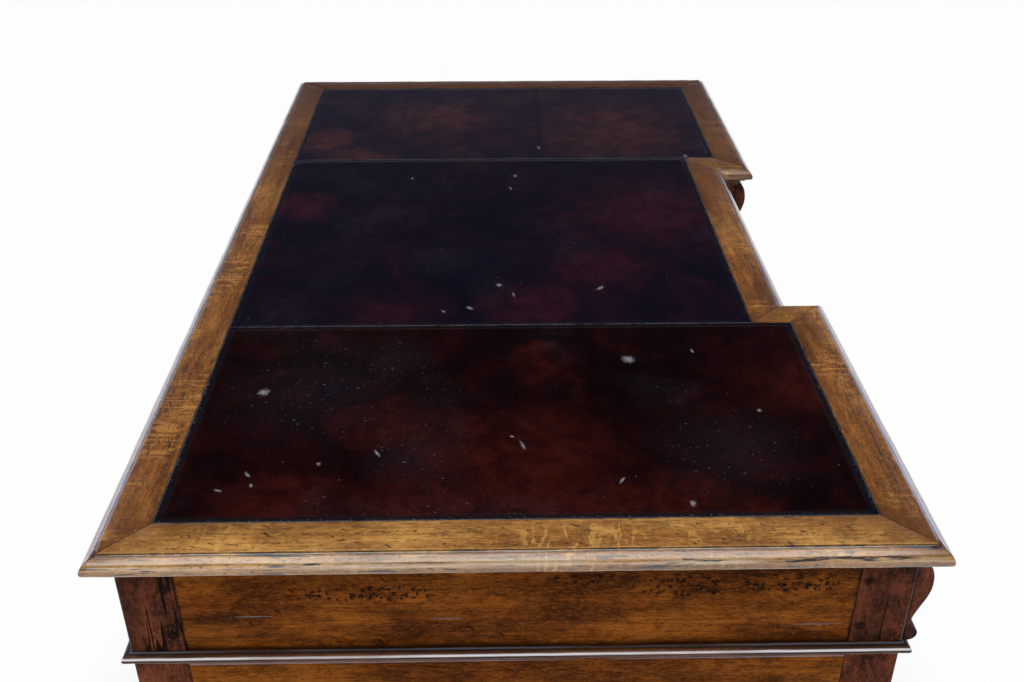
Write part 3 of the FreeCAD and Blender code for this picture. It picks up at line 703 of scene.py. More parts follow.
# %% [markdown]
# ## The leather
# Three skins are pasted side by side on the ground boards. Old writing leather is dyed oxblood, and
# hands, ink and polish have turned much of it blue-black, so the finish starts from a dark skin and lets
# rust-red patches show through. A dusty bloom, small scuffs that bare the pale underside, creases and a
# black rim lie over that.

# %% Leather finish
SKIN_SCUFF = stain(134, 130, 138)
SEAM_X = 0.308


class Skin(Finish):
    """Mottled leather, mixed in layers. Places are (x, y) on the top."""

    def __init__(self, name, black, red, patches):
        super().__init__(name)
        self.ragged = self.cloud(self.place, 26, 6, 0.70, 0.5)
        self.drift = self.cloud(self.place, 7, 4, 0.6, 0.8)
        self.fine = self.cloud(self.place, 210, 4, 0.7)
        sway = self.wobble(self.drift, 0.22)
        glow = self.between(self.ease(self.drift, 0.40, 0.70), 0.06, 0.34)
        for x, y, radius in patches:
            patch = self.ease(self.distance(x, y, sway), radius * 2.2, 0.0)
            glow = self.most(glow, self.between(patch, 0.0, 0.80))
        mottle = self.between(self.ease(self.ragged, 0.34, 0.66), 0.40, 1.08)
        self.colour = self.tint(self.times(glow, mottle, self.between(self.fine, 0.45, 1.45)), black, red)
        pebble = self.cells(self.place, 750)["Distance"]
        self.height = self.plus(self.times(pebble, 0.5), self.times(self.fine, 0.6))

    def distance(self, x, y, sway):
        """Metres from a place, made uneven by noise."""
        return self.plus(self.reach((x, y, 0), (1, 1, FAR)), sway)

    def add_dust(self, clouds):
        """Dry polish that dulls parts of the black in a fine bloom, and small flecks of bare skin."""
        where = self.between(self.ease(self.cloud(self.place, 6, 3, 0.6), 0.50, 0.66), 0.0, 0.5)
        sway = self.wobble(self.ragged, 0.14)
        for x, y, radius in clouds:
            where = self.most(where, self.ease(self.distance(x, y, sway), radius, 0.0))
        bloom = self.times(self.between(self.ragged, 0.2, 1.3), self.between(self.fine, 0.1, 1.5))
        self.mark(self.times(bloom, where), 0.075, stain(82, 80, 96))
        for scale, share, size, amount in ((70, 0.20, 0.11, 0.42), (150, 0.22, 0.15, 0.36)):
            flecks = self.spots(self.stretch((1.4, 0.7, 1.0), turn=(0, 0, scale)), scale, share, size, "2D")
            self.mark(self.times(flecks, where), amount, SKIN_SCUFF, -0.8)
        self.mark(self.spots(self.place, 60, 0.10, 0.07, "2D"), 0.35, SKIN_SCUFF, -0.4)

    def add_scuffs(self, scuffs):
        torn = self.wobble(self.cloud(self.place, 330, 4, 0.7), 2.2)
        for x, y, long, wide, angle in scuffs:
            near = self.plus(self.reach((x, y, 0), (long * 0.65, wide * 0.65, FAR), angle), torn)
            self.mark(self.ease(near, 1.2, 0.0), 0.85, SKIN_SCUFF, -1.0)

    def add_creases(self, creases):
        for y, low, high, amount in creases:
            bent = self.plus(self.axis("Y"), self.wobble(self.drift, 0.02))
            fold = self.times(self.line(bent, y, 0.006, 0.0008), self.ease(self.axis("X"), low, low + 0.03),
                              self.ease(self.axis("X"), high, high - 0.03))
            self.mark(fold, amount, stain(12, 9, 16), -2.0)

    def add_rim(self):
        """A blackened edge, frayed grey where it meets the wood, and a pale line where two skins meet."""
        rim = self.painted("from_rim")
        edge = self.between(self.line(self.size(self.axis("X")), SEAM_X, 0.012, 0.008), 1.0, 0.25)
        wavy = self.plus(rim, self.wobble(self.ragged, 0.006))
        self.mark(self.times(self.ease(wavy, 0.0098, 0.0064), edge), 0.8, stain(17, 15, 19))
        fibres = self.ease(self.cloud(self.place, 240, 4, 0.7), 0.54, 0.66)
        self.mark(self.times(self.ease(wavy, 0.0060, 0.0015), fibres, edge), 0.45, stain(92, 98, 110), 0.4)
        line = self.times(self.ease(rim, 0.0012, 0.0004), self.ease(self.ragged, 0.30, 0.55))
        self.mark(line, 0.5, stain(96, 104, 114))

    def polished(self):
        mixed = self.plus(self.times(self.ragged, 0.6), self.times(self.fine, 0.4))
        self.shader.inputs["Specular IOR Level"].default_value = 0.04
        return self.done(self.between(mixed, 0.18, 0.36), strength=0.22, depth=0.0005)


print("leather finish ready")

# %% [markdown]
# The three skins differ in tone and in their marks, so each has a list of its own: patches and dusty
# clouds as (x, y, radius), scuffs as (x, y, length, width, angle) and creases as (y, from x, to x,
# strength).

# %% Marks on the leather
SKINS = {
    "leather_left": dict(
        black=stain(6, 2, 3), red=stain(56, 17, 11),
        patches=[(-0.63, 0.01, 0.09), (-0.55, 0.145, 0.04), (-0.46, -0.357, 0.07), (-0.70, 0.27, 0.06),
                 (-0.71, 0.10, 0.06), (-0.71, -0.06, 0.06), (-0.70, -0.20, 0.04), (-0.42, -0.04, 0.03)],
        clouds=[(-0.47, 0.24, 0.16), (-0.60, -0.25, 0.12), (-0.61, 0.12, 0.08), (-0.40, 0.16, 0.08)],
        scuffs=[(-0.472, 0.313, 0.013, 0.012, 0), (-0.4015, -0.152, 0.015, 0.013, 0.3),
                (-0.382, -0.239, 0.009, 0.003, 0.2), (-0.523, -0.299, 0.006, 0.005, 0),
                (-0.589, -0.008, 0.015, 0.003, 0.3), (-0.572, 0.004, 0.005, 0.003, 1.0),
                (-0.640, 0.3025, 0.010, 0.003, 0.6), (-0.66, 0.295, 0.006, 0.003, 0.4),
                (-0.6025, 0.160, 0.012, 0.003, 0.5), (-0.622, 0.225, 0.006, 0.004, 0),
                (-0.658, -0.1175, 0.012, 0.003, -0.5), (-0.700, -0.190, 0.008, 0.006, 0),
                (-0.668, 0.33, 0.008, 0.003, 1.2)],
        creases=[]),
    "leather_middle": dict(
        black=stain(7, 8, 20), red=stain(50, 18, 26),
        patches=[(0.065, -0.23, 0.12), (-0.13, -0.14, 0.07), (0.095, 0.355, 0.035), (-0.25, -0.05, 0.05),
                 (-0.28, 0.18, 0.05)],
        clouds=[(-0.10, 0.10, 0.08)],
        scuffs=[(0.227, -0.017, 0.010, 0.005, 0), (0.218, 0.166, 0.008, 0.004, 0),
                (0.170, -0.008, 0.012, 0.003, 0.2), (-0.190, 0.016, 0.008, 0.008, 0),
                (-0.220, -0.005, 0.012, 0.003, 0.2), (-0.202, -0.1325, 0.012, 0.006, -0.8),
                (-0.259, 0.058, 0.010, 0.006, 0.7), (-0.268, 0.095, 0.010, 0.003, 0.6),
                (0.281, 0.386, 0.008, 0.005, 0)],
        creases=[]),
    "leather_right": dict(
        black=stain(14, 13, 29), red=stain(70, 38, 32),
        patches=[(0.53, 0.115, 0.09), (0.47, -0.215, 0.12), (0.395, 0.34, 0.05), (0.335, 0.28, 0.04)],
        clouds=[],
        scuffs=[(0.365, -0.065, 0.016, 0.006, 0), (0.318, -0.336, 0.010, 0.006, 0)],
        creases=[(-0.068, 0.34, 0.72, 0.7), (0.20, 0.36, 0.72, 0.3)]),
}
print("scuffs:", {node: len(marks["scuffs"]) for node, marks in SKINS.items()})

# %% [markdown]
# Each skin is a thin sheet that lies in the border. Its field is a grid, a little uneven. Rings are then
# drawn outwards from the edge of the grid, down and up again, for two tooled lines and a rim that is
# turned down. The sheet carries its distance from the rim as a number for the finish.

# %% Leather sheets
SKIN_THICKNESS = 0.0015
SKIN_SAG = 0.00022
SKIN_SAG_SCALE = 14
SKIN_RIM = ((0.0046, 0.0), (0.0006, -0.0002), (0.0006, 0.0002), (0.0022, 0.0), (0.0006, -0.0002),
            (0.0006, 0.0002), (0.0020, 0.0), (0.0008, -0.0002))


def open_edges(bm):
    return [edge for edge in bm.edges if edge.is_boundary]


def skin_sheet(node, finish):
    """A thin sheet: an uneven field, rings of (width, rise) drawn outwards and a wall to its back."""
    low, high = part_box(node)
    rim_width = sum(width for width, rise in SKIN_RIM)
    middle = Vector(((low.x + high.x) / 2, (low.y + high.y) / 2, high.z))
    half = Vector(((high.x - low.x) / 2 - rim_width, (high.y - low.y) / 2 - rim_width))
    bm = bmesh.new()
    bmesh.ops.create_grid(bm, x_segments=48, y_segments=64, size=1,
                          matrix=Matrix.LocRotScale(middle, None, Vector((*half, 1))))
    for vert in bm.verts:
        if not vert.is_boundary:
            vert.co.z -= SKIN_SAG * (0.5 + noise.noise(vert.co * SKIN_SAG_SCALE))
    for width, rise in (*SKIN_RIM, (0.0, -SKIN_THICKNESS)):
        made = bmesh.ops.extrude_edge_only(bm, edges=open_edges(bm))
        for vert in new_points(made):
            side = (vert.co.x - middle.x, vert.co.y - middle.y)
            for axis in (0, 1):
                if abs(side[axis]) > half[axis] - 1e-6:
                    vert.co[axis] += math.copysign(width, side[axis])
            vert.co.z += rise
        half += Vector((width, width))
    bmesh.ops.edgeloop_fill(bm, edges=open_edges(bm))
    rim_distance = bm.verts.layers.float.new("from_rim")
    for vert in bm.verts:
        vert[rim_distance] = min(vert.co.x - low.x, high.x - vert.co.x, vert.co.y - low.y, high.y - vert.co.y)
    bmesh.ops.recalc_face_normals(bm, faces=bm.faces)
    piece = make_piece(node + "_skin", bm, finish, "leather", "carcass", node)
    return piece


for node, marks in SKINS.items():
    skin = Skin(node + "_dye", marks["black"], marks["red"], marks["patches"])
    skin.add_dust(marks["clouds"])
    skin.add_scuffs(marks["scuffs"])
    skin.add_creases(marks["creases"])
    skin.add_rim()
    skin_piece = skin_sheet(node, skin.polished())
    print(skin_piece.name, "faces", len(skin_piece.data.polygons))

# %% [markdown]
# ## Mouldings and plinths
# A cove sits under the top, a small bead runs round the waist of each pedestal, and a bevelled skirting
# round its foot. They are mitred strips again. Strips that run lengthwise and strips that run crosswise
# are kept as two pieces, so that the grain follows each. The bead has a finish of its own, because dirt
# lies on its ledge, and highlights, a reflection and shade are painted along its nose and ledge.

# %% Sections of the mouldings
SIDES = {"left": -1, "right": 1}
FRIEZE_LOW = 0.625
CARCASS_X = 0.760
CARCASS_Y = 0.425
KNEE_X = 0.271
RECESS_Y = 0.371
COVE_OUT = 0.014
COVE_LOW = (0.011, 0.737)
COVE_HIGH = (0.0, 0.749)
COVE_SECTION = [COVE_HIGH, (0.0, TOP_UNDERSIDE), (COVE_OUT, TOP_UNDERSIDE), (COVE_OUT, COVE_LOW[1]), COVE_LOW]
COVE_SECTION += quarter_round(COVE_LOW, COVE_HIGH, (COVE_LOW[0], COVE_HIGH[1]), 6)
BEAD_OUT = 0.010
BEAD_SECTION = [(0.0025, 0.614), (BEAD_OUT, 0.614), (BEAD_OUT, FRIEZE_LOW), (0.0025, 0.6235),
                (0.0009, 0.6218), (0.0, 0.6188), (0.0009, 0.6158)]
PLINTH_OUT = 0.014
PLINTH_SECTION = [(0.0, 0.0), (0.0, 0.073), (0.011, 0.085), (PLINTH_OUT, 0.085), (PLINTH_OUT, 0.0)]
MOULDING_ARRIS = 0.0006


def bead_oak(along):
    """The waist bead: black dirt on its ledge, a bluish painted reflection at the back of the ledge, and
    painted highlights along its nose and lower arris with painted shade between them.
    """
    oak = Oak("moulding", along, 4.1)
    from_edge, height = oak.painted("from_edge"), oak.axis("Z")
    wear_and_highlight_breakup = oak.ease(oak.cloud(oak.grain(0.1), 40, 3), 0.25, 0.50)
    oak.mark(oak.ease(from_edge, 0.0030, 0.0065), 0.65, "deep")
    # Painted reflection: a thin bluish line at the back of the ledge.
    oak.mark(oak.times(oak.ease(from_edge, 0.0070, 0.0078), wear_and_highlight_breakup), 0.55, stain(112, 124, 140))
    # Painted shade on the middle of the nose, then painted highlights along the top of the nose and along its
    # lower arris.
    for level, width, amount, colour in ((0.6184, 0.0022, 0.45, "deep"),
                                         (0.6214, 0.0017, 0.95, stain(228, 222, 222)),
                                         (0.6152, 0.0012, 0.80, stain(200, 188, 182))):
        oak.mark(oak.times(oak.line(height, level, width, width * 0.35), wear_and_highlight_breakup), amount, colour)
    return oak.waxed(0.30, 0.45, 0.2, 0.2)


for run in "xy":
    oaks["bead", run] = bead_oak(run)
print("bead finishes:", oaks["bead", "x"].name, oaks["bead", "y"].name)


# %% Mouldings
def pedestal_outline(side, out):
    """The plan of one pedestal, grown outwards. Side is -1 for left and 1 for right."""
    low, high = sorted((side * (KNEE_X - out), side * (CARCASS_X + out)))
    y = CARCASS_Y + out
    return [Vector(corner) for corner in ((low, -y, 0), (high, -y, 0), (high, y, 0), (low, y, 0))]


def moulding(name, outlines, section, recipe, node):
    for axis, run in enumerate("xy"):
        bm = bmesh.new()
        for outline in outlines:
            for number, start in enumerate(outline):
                end = outline[(number + 1) % len(outline)]
                if abs((end - start)[axis]) > 1e-6:
                    add_strip(bm, outline, number, section, MOULDING_ARRIS)
        make_piece(name + "_" + run, bm, oaks[recipe, run], "oak_moulding", "carcass", node)


cove_outline = breakfront(CARCASS_X + COVE_OUT, CARCASS_Y + COVE_OUT, KNEE_X - COVE_OUT, RECESS_Y + COVE_OUT)
bead_outlines = [pedestal_outline(side, BEAD_OUT) for side in SIDES.values()]
moulding("cove", [cove_outline], COVE_SECTION, "moulding", "bed_moulding")
moulding("waist_bead", bead_outlines, BEAD_SECTION, "bead", "waist_mouldings")
for label, side in SIDES.items():
    plinth_outline = pedestal_outline(side, PLINTH_OUT)
    moulding(label + "_skirting", [plinth_outline], PLINTH_SECTION, "frame", label + "_plinth")
print("cove, waist beads and skirtings made")

# %% [markdown]
# ## Posts and frames
# Dark upright posts stand at every corner of the frieze and the pedestals, and rails and muntins are
# tenoned between them. The outer posts of the frieze carry the pegs and the most marks, and old wax has
# run along the rails under the waist bead, so those two have finishes of their own.

# %% Finishes for posts and rails
WAX_LINE = 0.604
PEG_PLACES = [(y, z) for y in (-0.375, 0.375) for z in (0.6495, 0.7153)]
PEG_DIRT = 0.006


def pegged_oak():
    """Frame oak. The outer posts have dirt round their pegs, a split, one side darkened as painted shade,
    worn arrises, and a pale painted highlight along their front arrises.
    """
    oak = Oak("frame", "z", 6.1)
    y = oak.axis("Y")
    depth = oak.size(y)
    outer = oak.ease(oak.size(oak.axis("X")), 0.700, 0.715)
    smudge = oak.wobble(oak.cloud(oak.place, 140, 3), 0.9)
    # Painted shade: one side of each outer post is darker, the left side as seen from the near end.
    dusk = oak.most(oak.ease(y, 0.400, 0.412),
                    oak.times(oak.ease(y, -0.402, -0.395), oak.ease(y, -0.30, -0.36)))
    oak.mark(oak.times(dusk, outer), 0.35, "dark")
    for peg_y, peg_z in PEG_PLACES:
        near = oak.plus(oak.reach((0, peg_y, peg_z), (FAR, PEG_DIRT, PEG_DIRT)), smudge)
        oak.mark(oak.times(oak.ease(near, 1.4, 0.7), outer), 0.75, "deep")
    split = oak.line(oak.plus(depth, oak.times(smudge, 0.003)), 0.399, 0.0012, 0.0004)
    oak.mark(oak.times(split, oak.ease(oak.axis("Z"), 0.705, 0.680), outer), 0.95, "deep", -2.0)
    oak.wear_arrises()
    # Painted highlight: a pale bluish line along the front arris of the outer posts, as if it caught the
    # light.
    arris = oak.times(oak.ease(depth, 0.4230, 0.4242), oak.ease(oak.facing("Y"), 0.99, 0.96))
    wear_and_highlight_breakup = oak.ease(oak.cloud(oak.place, 30, 3), 0.30, 0.55)
    oak.mark(oak.times(arris, wear_and_highlight_breakup, outer), 0.45, stain(118, 124, 136))
    return oak.waxed()


def rail_oak():
    """Board oak for the side rails, with a line of old wax under the waist bead."""
    oak = Oak("board", "y", 7.7)
    broken = oak.ease(oak.cloud(oak.grain(0.1), 30, 4, 0.6), 0.36, 0.56)
    wax = oak.times(oak.line(oak.axis("Z"), WAX_LINE, 0.0016, 0.0005), broken)
    oak.mark(wax, 0.6, stain(170, 160, 164), 0.3)
    oak.wear_arrises()
    return oak.waxed()


side_rail_oak = rail_oak()
post_oak = pegged_oak()
print("finishes:", side_rail_oak.name, post_oak.name)

# %% [markdown]
# The joints themselves are in the solids, inside the posts. What shows is plain boards that meet in a
# fine line, so boards are built between the same faces. The panels and the drawer rails keep the shape of
# their solids.

# %% Posts and frames
BETWEEN_X = (0.311, 0.720)
BETWEEN_Y = (-0.365, 0.365)
POST_X = ((KNEE_X, BETWEEN_X[0]), (BETWEEN_X[1], CARCASS_X))
POST_Y = ((-CARCASS_Y, BETWEEN_Y[0]), (BETWEEN_Y[1], CARCASS_Y))
FRAME_X = ((KNEE_X, 0.296), (0.735, CARCASS_X))
FRAME_BACK_Y = (0.400, CARCASS_Y)
RAIL_Z = ((0.020, 0.150), (0.550, FRIEZE_LOW))
MUNTIN_Y = (-0.035, 0.035)
MUNTIN_Z = (RAIL_Z[0][1], RAIL_Z[1][0])
BOARD_STEP = 0.03


def mirrored(spans, side):
    """Spans along x for one side of the desk."""
    return [tuple(sorted(side * value for value in span)) for span in spans]


def add_board(bm, *spans):
    """A block with bevelled arrises, given as its spans along x, y and z."""
    low, high = (Vector(corner) for corner in zip(*spans))
    shape = Matrix.LocRotScale((low + high) / 2, None, high - low)
    made = bmesh.ops.create_cube(bm, size=1, matrix=shape)
    bevel_arrises(bm, list({edge for vert in made["verts"] for edge in vert.link_edges}), ARRIS)


def boards_piece(name, boards, axis, finish, node):
    bm = bmesh.new()
    for spans in boards:
        add_board(bm, *spans)
    slice_along(bm, axis, BOARD_STEP)
    rub_back(bm)
    make_piece(name + "_worn", bm, finish, "oak_frame", "carcass", node)


frieze_posts = [(x, y, (FRIEZE_LOW, TOP_UNDERSIDE))
                for side in SIDES.values() for x in mirrored(POST_X, side) for y in POST_Y]
boards_piece("frieze_posts", frieze_posts, 2, post_oak, "frieze_posts")
for label, side in SIDES.items():
    pedestal = label + "_pedestal_"
    frame_x = mirrored(FRAME_X, side)
    posts = [(x, y, (0.0, FRIEZE_LOW)) for x in mirrored(POST_X, side) for y in POST_Y]
    muntins = [(x, MUNTIN_Y, MUNTIN_Z) for x in frame_x]
    side_rails = [(x, BETWEEN_Y, z) for x in frame_x for z in RAIL_Z]
    back_rails = [(x, FRAME_BACK_Y, z) for x in mirrored([BETWEEN_X], side) for z in RAIL_Z]
    boards_piece(label + "_posts", posts, 2, oaks["frame", "z"], pedestal + "posts")
    boards_piece(label + "_muntins", muntins, 2, oaks["frame", "z"], pedestal + "frames")
    boards_piece(label + "_side_rails", side_rails, 1, side_rail_oak, pedestal + "frames")
    boards_piece(label + "_back_rails", back_rails, 0, oaks["board", "x"], pedestal + "frames")
    worn_copy(pedestal + "panels", oaks["board", "z"], "oak_board", "carcass", 2, fold=8)
    worn_copy(pedestal + "drawer_rails", oaks["frame", "x"], "oak_frame", "carcass", 0)
print("posts and frames made")

# %% [markdown]
# ## The frieze boards
# The wide board at each end of the frieze is the most marked face of the desk: golden brown, with
# clusters of dark tears along its upper part, small gouges, a few long grey scratches, and dirt along its
# ends and foot. The marks are masks in its finish, placed along y and z, so they stay on the board from
# any side.

# %% Frieze boards
TEAR_CLUSTERS = ((0.162, 0.706, 0.085, 0.013), (-0.070, 0.723, 0.045, 0.008),
                 (-0.175, 0.711, 0.060, 0.019), (-0.292, 0.714, 0.062, 0.017))
BOARD_SCRATCHES = ((0.286, 0.6748, 0.026, 0.0011), (-0.325, 0.653, 0.032, 0.0012),
                   (0.078, 0.6684, 0.021, 0.0010))


def end_board_oak():
    """Board oak with tears and scratches, given as places and half sizes along y and z."""
    oak = Oak("board", "y", 2.3)
    smoke = oak.ease(oak.cloud(oak.grain(0.45), 8, 4, 0.6), 0.50, 0.72)
    oak.mark(smoke, 0.45, stain(44, 18, 2))
    face = oak.put("CombineXYZ", {"X": oak.axis("Y"), "Y": oak.axis("Z")}).outputs[0]
    torn = oak.wobble(oak.cloud(oak.place, 420, 3, 0.7), 1.8)
    tears = []
    for scale, wide in ((85, 0.40), (150, 0.42)):
        cells = oak.cells(face, scale, "2D")
        shape = oak.ease(oak.plus(cells["Distance"], torn), wide, wide * 0.5)
        tears.append(oak.times(shape, oak.ease(cells["Color"], 0.50, 0.55)))
    for y, z, long, high in TEAR_CLUSTERS:
        near = oak.ease(oak.reach((0, y, z), (FAR, long, high)), 1.3, 0.6)
        for layer in tears:
            oak.mark(oak.times(layer, near), 0.9, "deep", -1.5)
    oak.mark(oak.spots(face, 48, 0.14, 0.07, "2D"), 0.9, "deep", -1.5)
    slant = oak.put("Mapping", {"Vector": face, "Rotation": (0, 0, 0.8), "Scale": (4, 1, 1)},
                    vector_type="TEXTURE").outputs[0]
    oak.mark(oak.spots(slant, 62, 0.28, 0.10, "2D"), 0.85, "deep", -1.5)
    for y, z, long, high in BOARD_SCRATCHES:
        near = oak.plus(oak.reach((0, y, z), (FAR, long, high)), oak.times(torn, 0.4))
        oak.mark(oak.ease(near, 1.1, 0.5), 0.6, stain(116, 118, 124), -0.3)
    ends = oak.plus(oak.size(oak.axis("Y")), oak.wobble(oak.cloud(oak.place, 70, 3), 0.006))
    oak.mark(oak.ease(ends, 0.3610, 0.3645), 0.85, "deep")
    oak.mark(oak.ease(oak.axis("Z"), 0.634, 0.6265), 0.8, "deep")
    oak.wear_arrises()
    return oak.waxed(0.32, 0.52)


worn_copy("frieze_end_boards", end_board_oak(), "oak_board", "carcass", 1, step=0.02)
worn_copy("frieze_back_boards", oaks["board", "x"], "oak_board", "carcass", 0)
worn_copy("frieze_rails", oaks["frame", "x"], "oak_frame", "carcass", 0)
print("frieze boards made")

# %% [markdown]
# ## Corbels
# A scroll corbel stands on the front of each frieze post: a swelling that falls in an S to a rolled
# scroll. The profile is drawn once, half of it as a cosine because that is upright at both ends, then
# extruded. The scroll is a turned roll with a raised eye at each end, cut flat where it meets the post.

# %% Corbels
CORBEL_HALF_WIDTH = 0.0175
CORBEL_NECK = (0.0070, 0.112)
CORBEL_BELLY = (0.0210, 0.081)
CORBEL_WAIST = (0.0048, 0.0195)
CORBEL_STEPS = 14
CORBEL_ARRIS = 0.0006
SCROLL_RADIUS = 0.0098
SCROLL_LENGTH = 0.036
SCROLL_EYE = (0.0064, 0.0098)
SCROLL_RINGS = ((0.0022, -0.0008), (0.0018, 0.0018))


def corbel_profile():
    """Points (out from the post, up from the waist), from the top of the post's face down to its foot."""
    points = [(0.0, CORBEL_NECK[1]), CORBEL_NECK]
    points += quarter_round(CORBEL_NECK, CORBEL_BELLY, (CORBEL_BELLY[0], CORBEL_NECK[1]))
    for step in range(CORBEL_STEPS + 1):
        share = step / CORBEL_STEPS
        swell = 0.5 + 0.5 * math.cos(math.pi * share)
        points.append((CORBEL_WAIST[0] + (CORBEL_BELLY[0] - CORBEL_WAIST[0]) * swell,
                       CORBEL_BELLY[1] + (CORBEL_WAIST[1] - CORBEL_BELLY[1]) * share))
    return points + [(CORBEL_WAIST[0], 0.0), (0.0, 0.0)]


def add_corbel(bm, x):
    foot = Vector((x, -CARCASS_Y, FRIEZE_LOW))
    ring = [foot + Vector((-CORBEL_HALF_WIDTH, -out, up)) for out, up in corbel_profile()]
    draw_out(bm, ring, (2 * CORBEL_HALF_WIDTH, 0, 0))
    eye = Matrix.Translation(foot + Vector((0, -SCROLL_EYE[0], SCROLL_EYE[1])))
    roll = bmesh.new()
    bmesh.ops.create_cone(roll, cap_ends=True, segments=32, radius1=SCROLL_RADIUS, radius2=SCROLL_RADIUS,
                          depth=SCROLL_LENGTH, matrix=eye @ Matrix.Rotation(math.pi / 2, 4, "Y"))
    for inset, depth in SCROLL_RINGS:
        ends = [face for face in roll.faces if abs(face.normal.x) > 0.9 and len(face.verts) > 4]
        bmesh.ops.inset_individual(roll, faces=ends, thickness=inset, depth=depth)
    cut_off(roll, foot, (0, 1, 0))
    pour(roll, bm)


def corbel_oak():
    """Frame oak, black where the corbel meets its post, and darker over its foot and scroll as painted shade
    under the swelling.
    """
    oak = Oak("frame", "z", 5.2)
    oak.mark(oak.ease(oak.axis("Y"), -CARCASS_Y - 0.0055, -CARCASS_Y), 0.8, "deep")
    # Painted shade: the foot of the corbel and its scroll, under the swelling, are darker.
    oak.mark(oak.ease(oak.axis("Z"), FRIEZE_LOW + 0.030, FRIEZE_LOW + 0.019), 0.6, "deep")
    oak.wear_arrises()
    return oak.waxed(0.30, 0.50, 0.06)


corbels = bmesh.new()
for post in POST_X:
    for side in SIDES.values():
        add_corbel(corbels, side * sum(post) / 2)
bmesh.ops.recalc_face_normals(corbels, faces=corbels.faces)
bevel_arrises(corbels, sharp_edges(corbels, 40), CORBEL_ARRIS)
rub_back(corbels)
make_piece("scroll_corbels_worn", corbels, corbel_oak(), "oak_frame", "carcass", "scroll_corbels")
print("corbels made")

# %% [markdown]
# ## Pegs
# The pegs that hold the end boards were whittled: a cone with twelve sides, bevelled at its end and
# standing a little proud, looks truer than the six-sided solid. Each takes its place and size from one
# shell of the solid.

# %% Pegs
PEG_FIT_SHARE = 0.98
PEG_TAPER_SHARE = 0.9
PEG_ARRIS = 0.0007


def shell_boxes(node):
    """The low and high corner of each separate shell of a CAD node."""
    solids = solid_copy(node)
    left = set(solids.verts)
    boxes = []
    while left:
        shell, front = [], [left.pop()]
        while front:
            vert = front.pop()
            shell.append(vert.co)
            fresh = {link.other_vert(vert) for link in vert.link_edges} & left
            left -= fresh
            front.extend(fresh)
        spans = list(zip(*shell))
        boxes.append((Vector([min(span) for span in spans]), Vector([max(span) for span in spans])))
    solids.free()
    return boxes


pegs = bmesh.new()
for low, high in shell_boxes("joint_pegs"):
    centre, size = (low + high) / 2, high - low
    radius = size.z / 2 * PEG_FIT_SHARE
    turn = Matrix.Rotation(math.copysign(math.pi / 2, centre.x), 4, "Y")
    made = bmesh.ops.create_cone(pegs, cap_ends=True, segments=12, radius1=radius * PEG_TAPER_SHARE,
                                 radius2=radius, depth=size.x, matrix=Matrix.Translation(centre) @ turn)
    edges = {edge for vert in made["verts"] for edge in vert.link_edges}
    bevel_arrises(pegs, [edge for edge in edges if edge.calc_face_angle() > 1.0], PEG_ARRIS)
make_piece("joint_pegs_whittled", pegs, oaks["peg", "x"], "oak_peg", "carcass", "joint_pegs")
print("pegs made")

# %% [markdown]
# ## Drawers
# Each drawer has a front with a raised field, a dovetailed box behind it and two turned knobs. The fronts
# are worn copies of their solids. A knob is turned on a lathe, and spin is a lathe: the outline of half a
# knob goes once round its axis, and a subdivision surface smooths the swelling of its head. The boxes
# keep their solids.

# %% Drawers
KNOB_OUTLINE = ((0.0118, 0.0), (0.0130, 0.0008), (0.0128, 0.0022), (0.0095, 0.0040), (0.0088, 0.0068),
                (0.0125, 0.0102), (0.0176, 0.0142), (0.0182, 0.0172), (0.0172, 0.0200), (0.0130, 0.0228),
                (0.0060, 0.0240))
KNOB_REACH = KNOB_OUTLINE[-1][1]
KNOB_STEPS = 20
FRONT_ARRIS = 0.0006


def add_knob(bm, x, y, z):
    """Turns one knob about the axis through (x, z), standing out from the face at y."""
    outline = [bm.verts.new((x + radius, y - reach, z)) for radius, reach in KNOB_OUTLINE]
    edges = [bm.edges.new(pair) for pair in zip(outline, outline[1:])]
    bmesh.ops.spin(bm, geom=outline + edges, cent=(x, y, z), axis=(0, 1, 0), angle=2 * math.pi,
                   steps=KNOB_STEPS, use_merge=True)
    bmesh.ops.edgeloop_fill(bm, edges=open_edges(bm))


def turned_knobs(name, body):
    bm = bmesh.new()
    for low, high in shell_boxes(name):
        add_knob(bm, (low.x + high.x) / 2, low.y + KNOB_REACH, (low.z + high.z) / 2)
    bmesh.ops.recalc_face_normals(bm, faces=bm.faces)
    knobs = make_piece(name + "_turned", bm, oaks["knob", "y"], "oak_knob", body, name)
    rounding = knobs.modifiers.new("rounding", "SUBSURF")
    rounding.levels = 2
    rounding.render_levels = 2


def leave_unwaxed(node):
    """A solid that stays as it is takes the finish of the linings."""
    mesh = frame["nodes"][node].data
    mesh.materials.clear()
    mesh.materials.append(oaks["inside", "xy"])


drawers = sorted(body for body in frame["bodies"] if body.endswith("_drawer"))
for drawer in drawers:
    worn_copy(drawer + "_front", oaks["board", "x"], "oak_board", drawer, 0, FRONT_ARRIS, fold=8)
    turned_knobs(drawer + "_knobs", drawer)
    leave_unwaxed(drawer + "_box")
print("drawers:", ", ".join(drawers))

# %% [markdown]
# ## Inside the carcass
# Ground boards, partitions, runners and the boards of the pedestals are hidden until a drawer is out or
# the desk is turned over. Their solids are right as they are, so they only take the dry lining finish.

# %% Hidden boards
hidden = ["top_ground_boards", "frieze_partitions", "frieze_runners"]
hidden += [label + "_pedestal_" + kind for label in SIDES for kind in ("runners", "boards")]
for node in hidden:
    leave_unwaxed(node)
print("hidden nodes finished:", len(hidden))

# %% [markdown]
# ## The floor
# The desk stands on a white studio floor that curves up at its rim. The floor is white to the camera and
# to reflections, and keeps a part of its own shaded surface, most of it near the pedestals, so the desk
# still throws a shadow on it.

# %% Floor
FLOOR_RADIUS = 11.0
FLOOR_CURVE = ((0.6, 0.0), (0.35, 0.15), (0.2, 0.45), (0.1, 1.5))


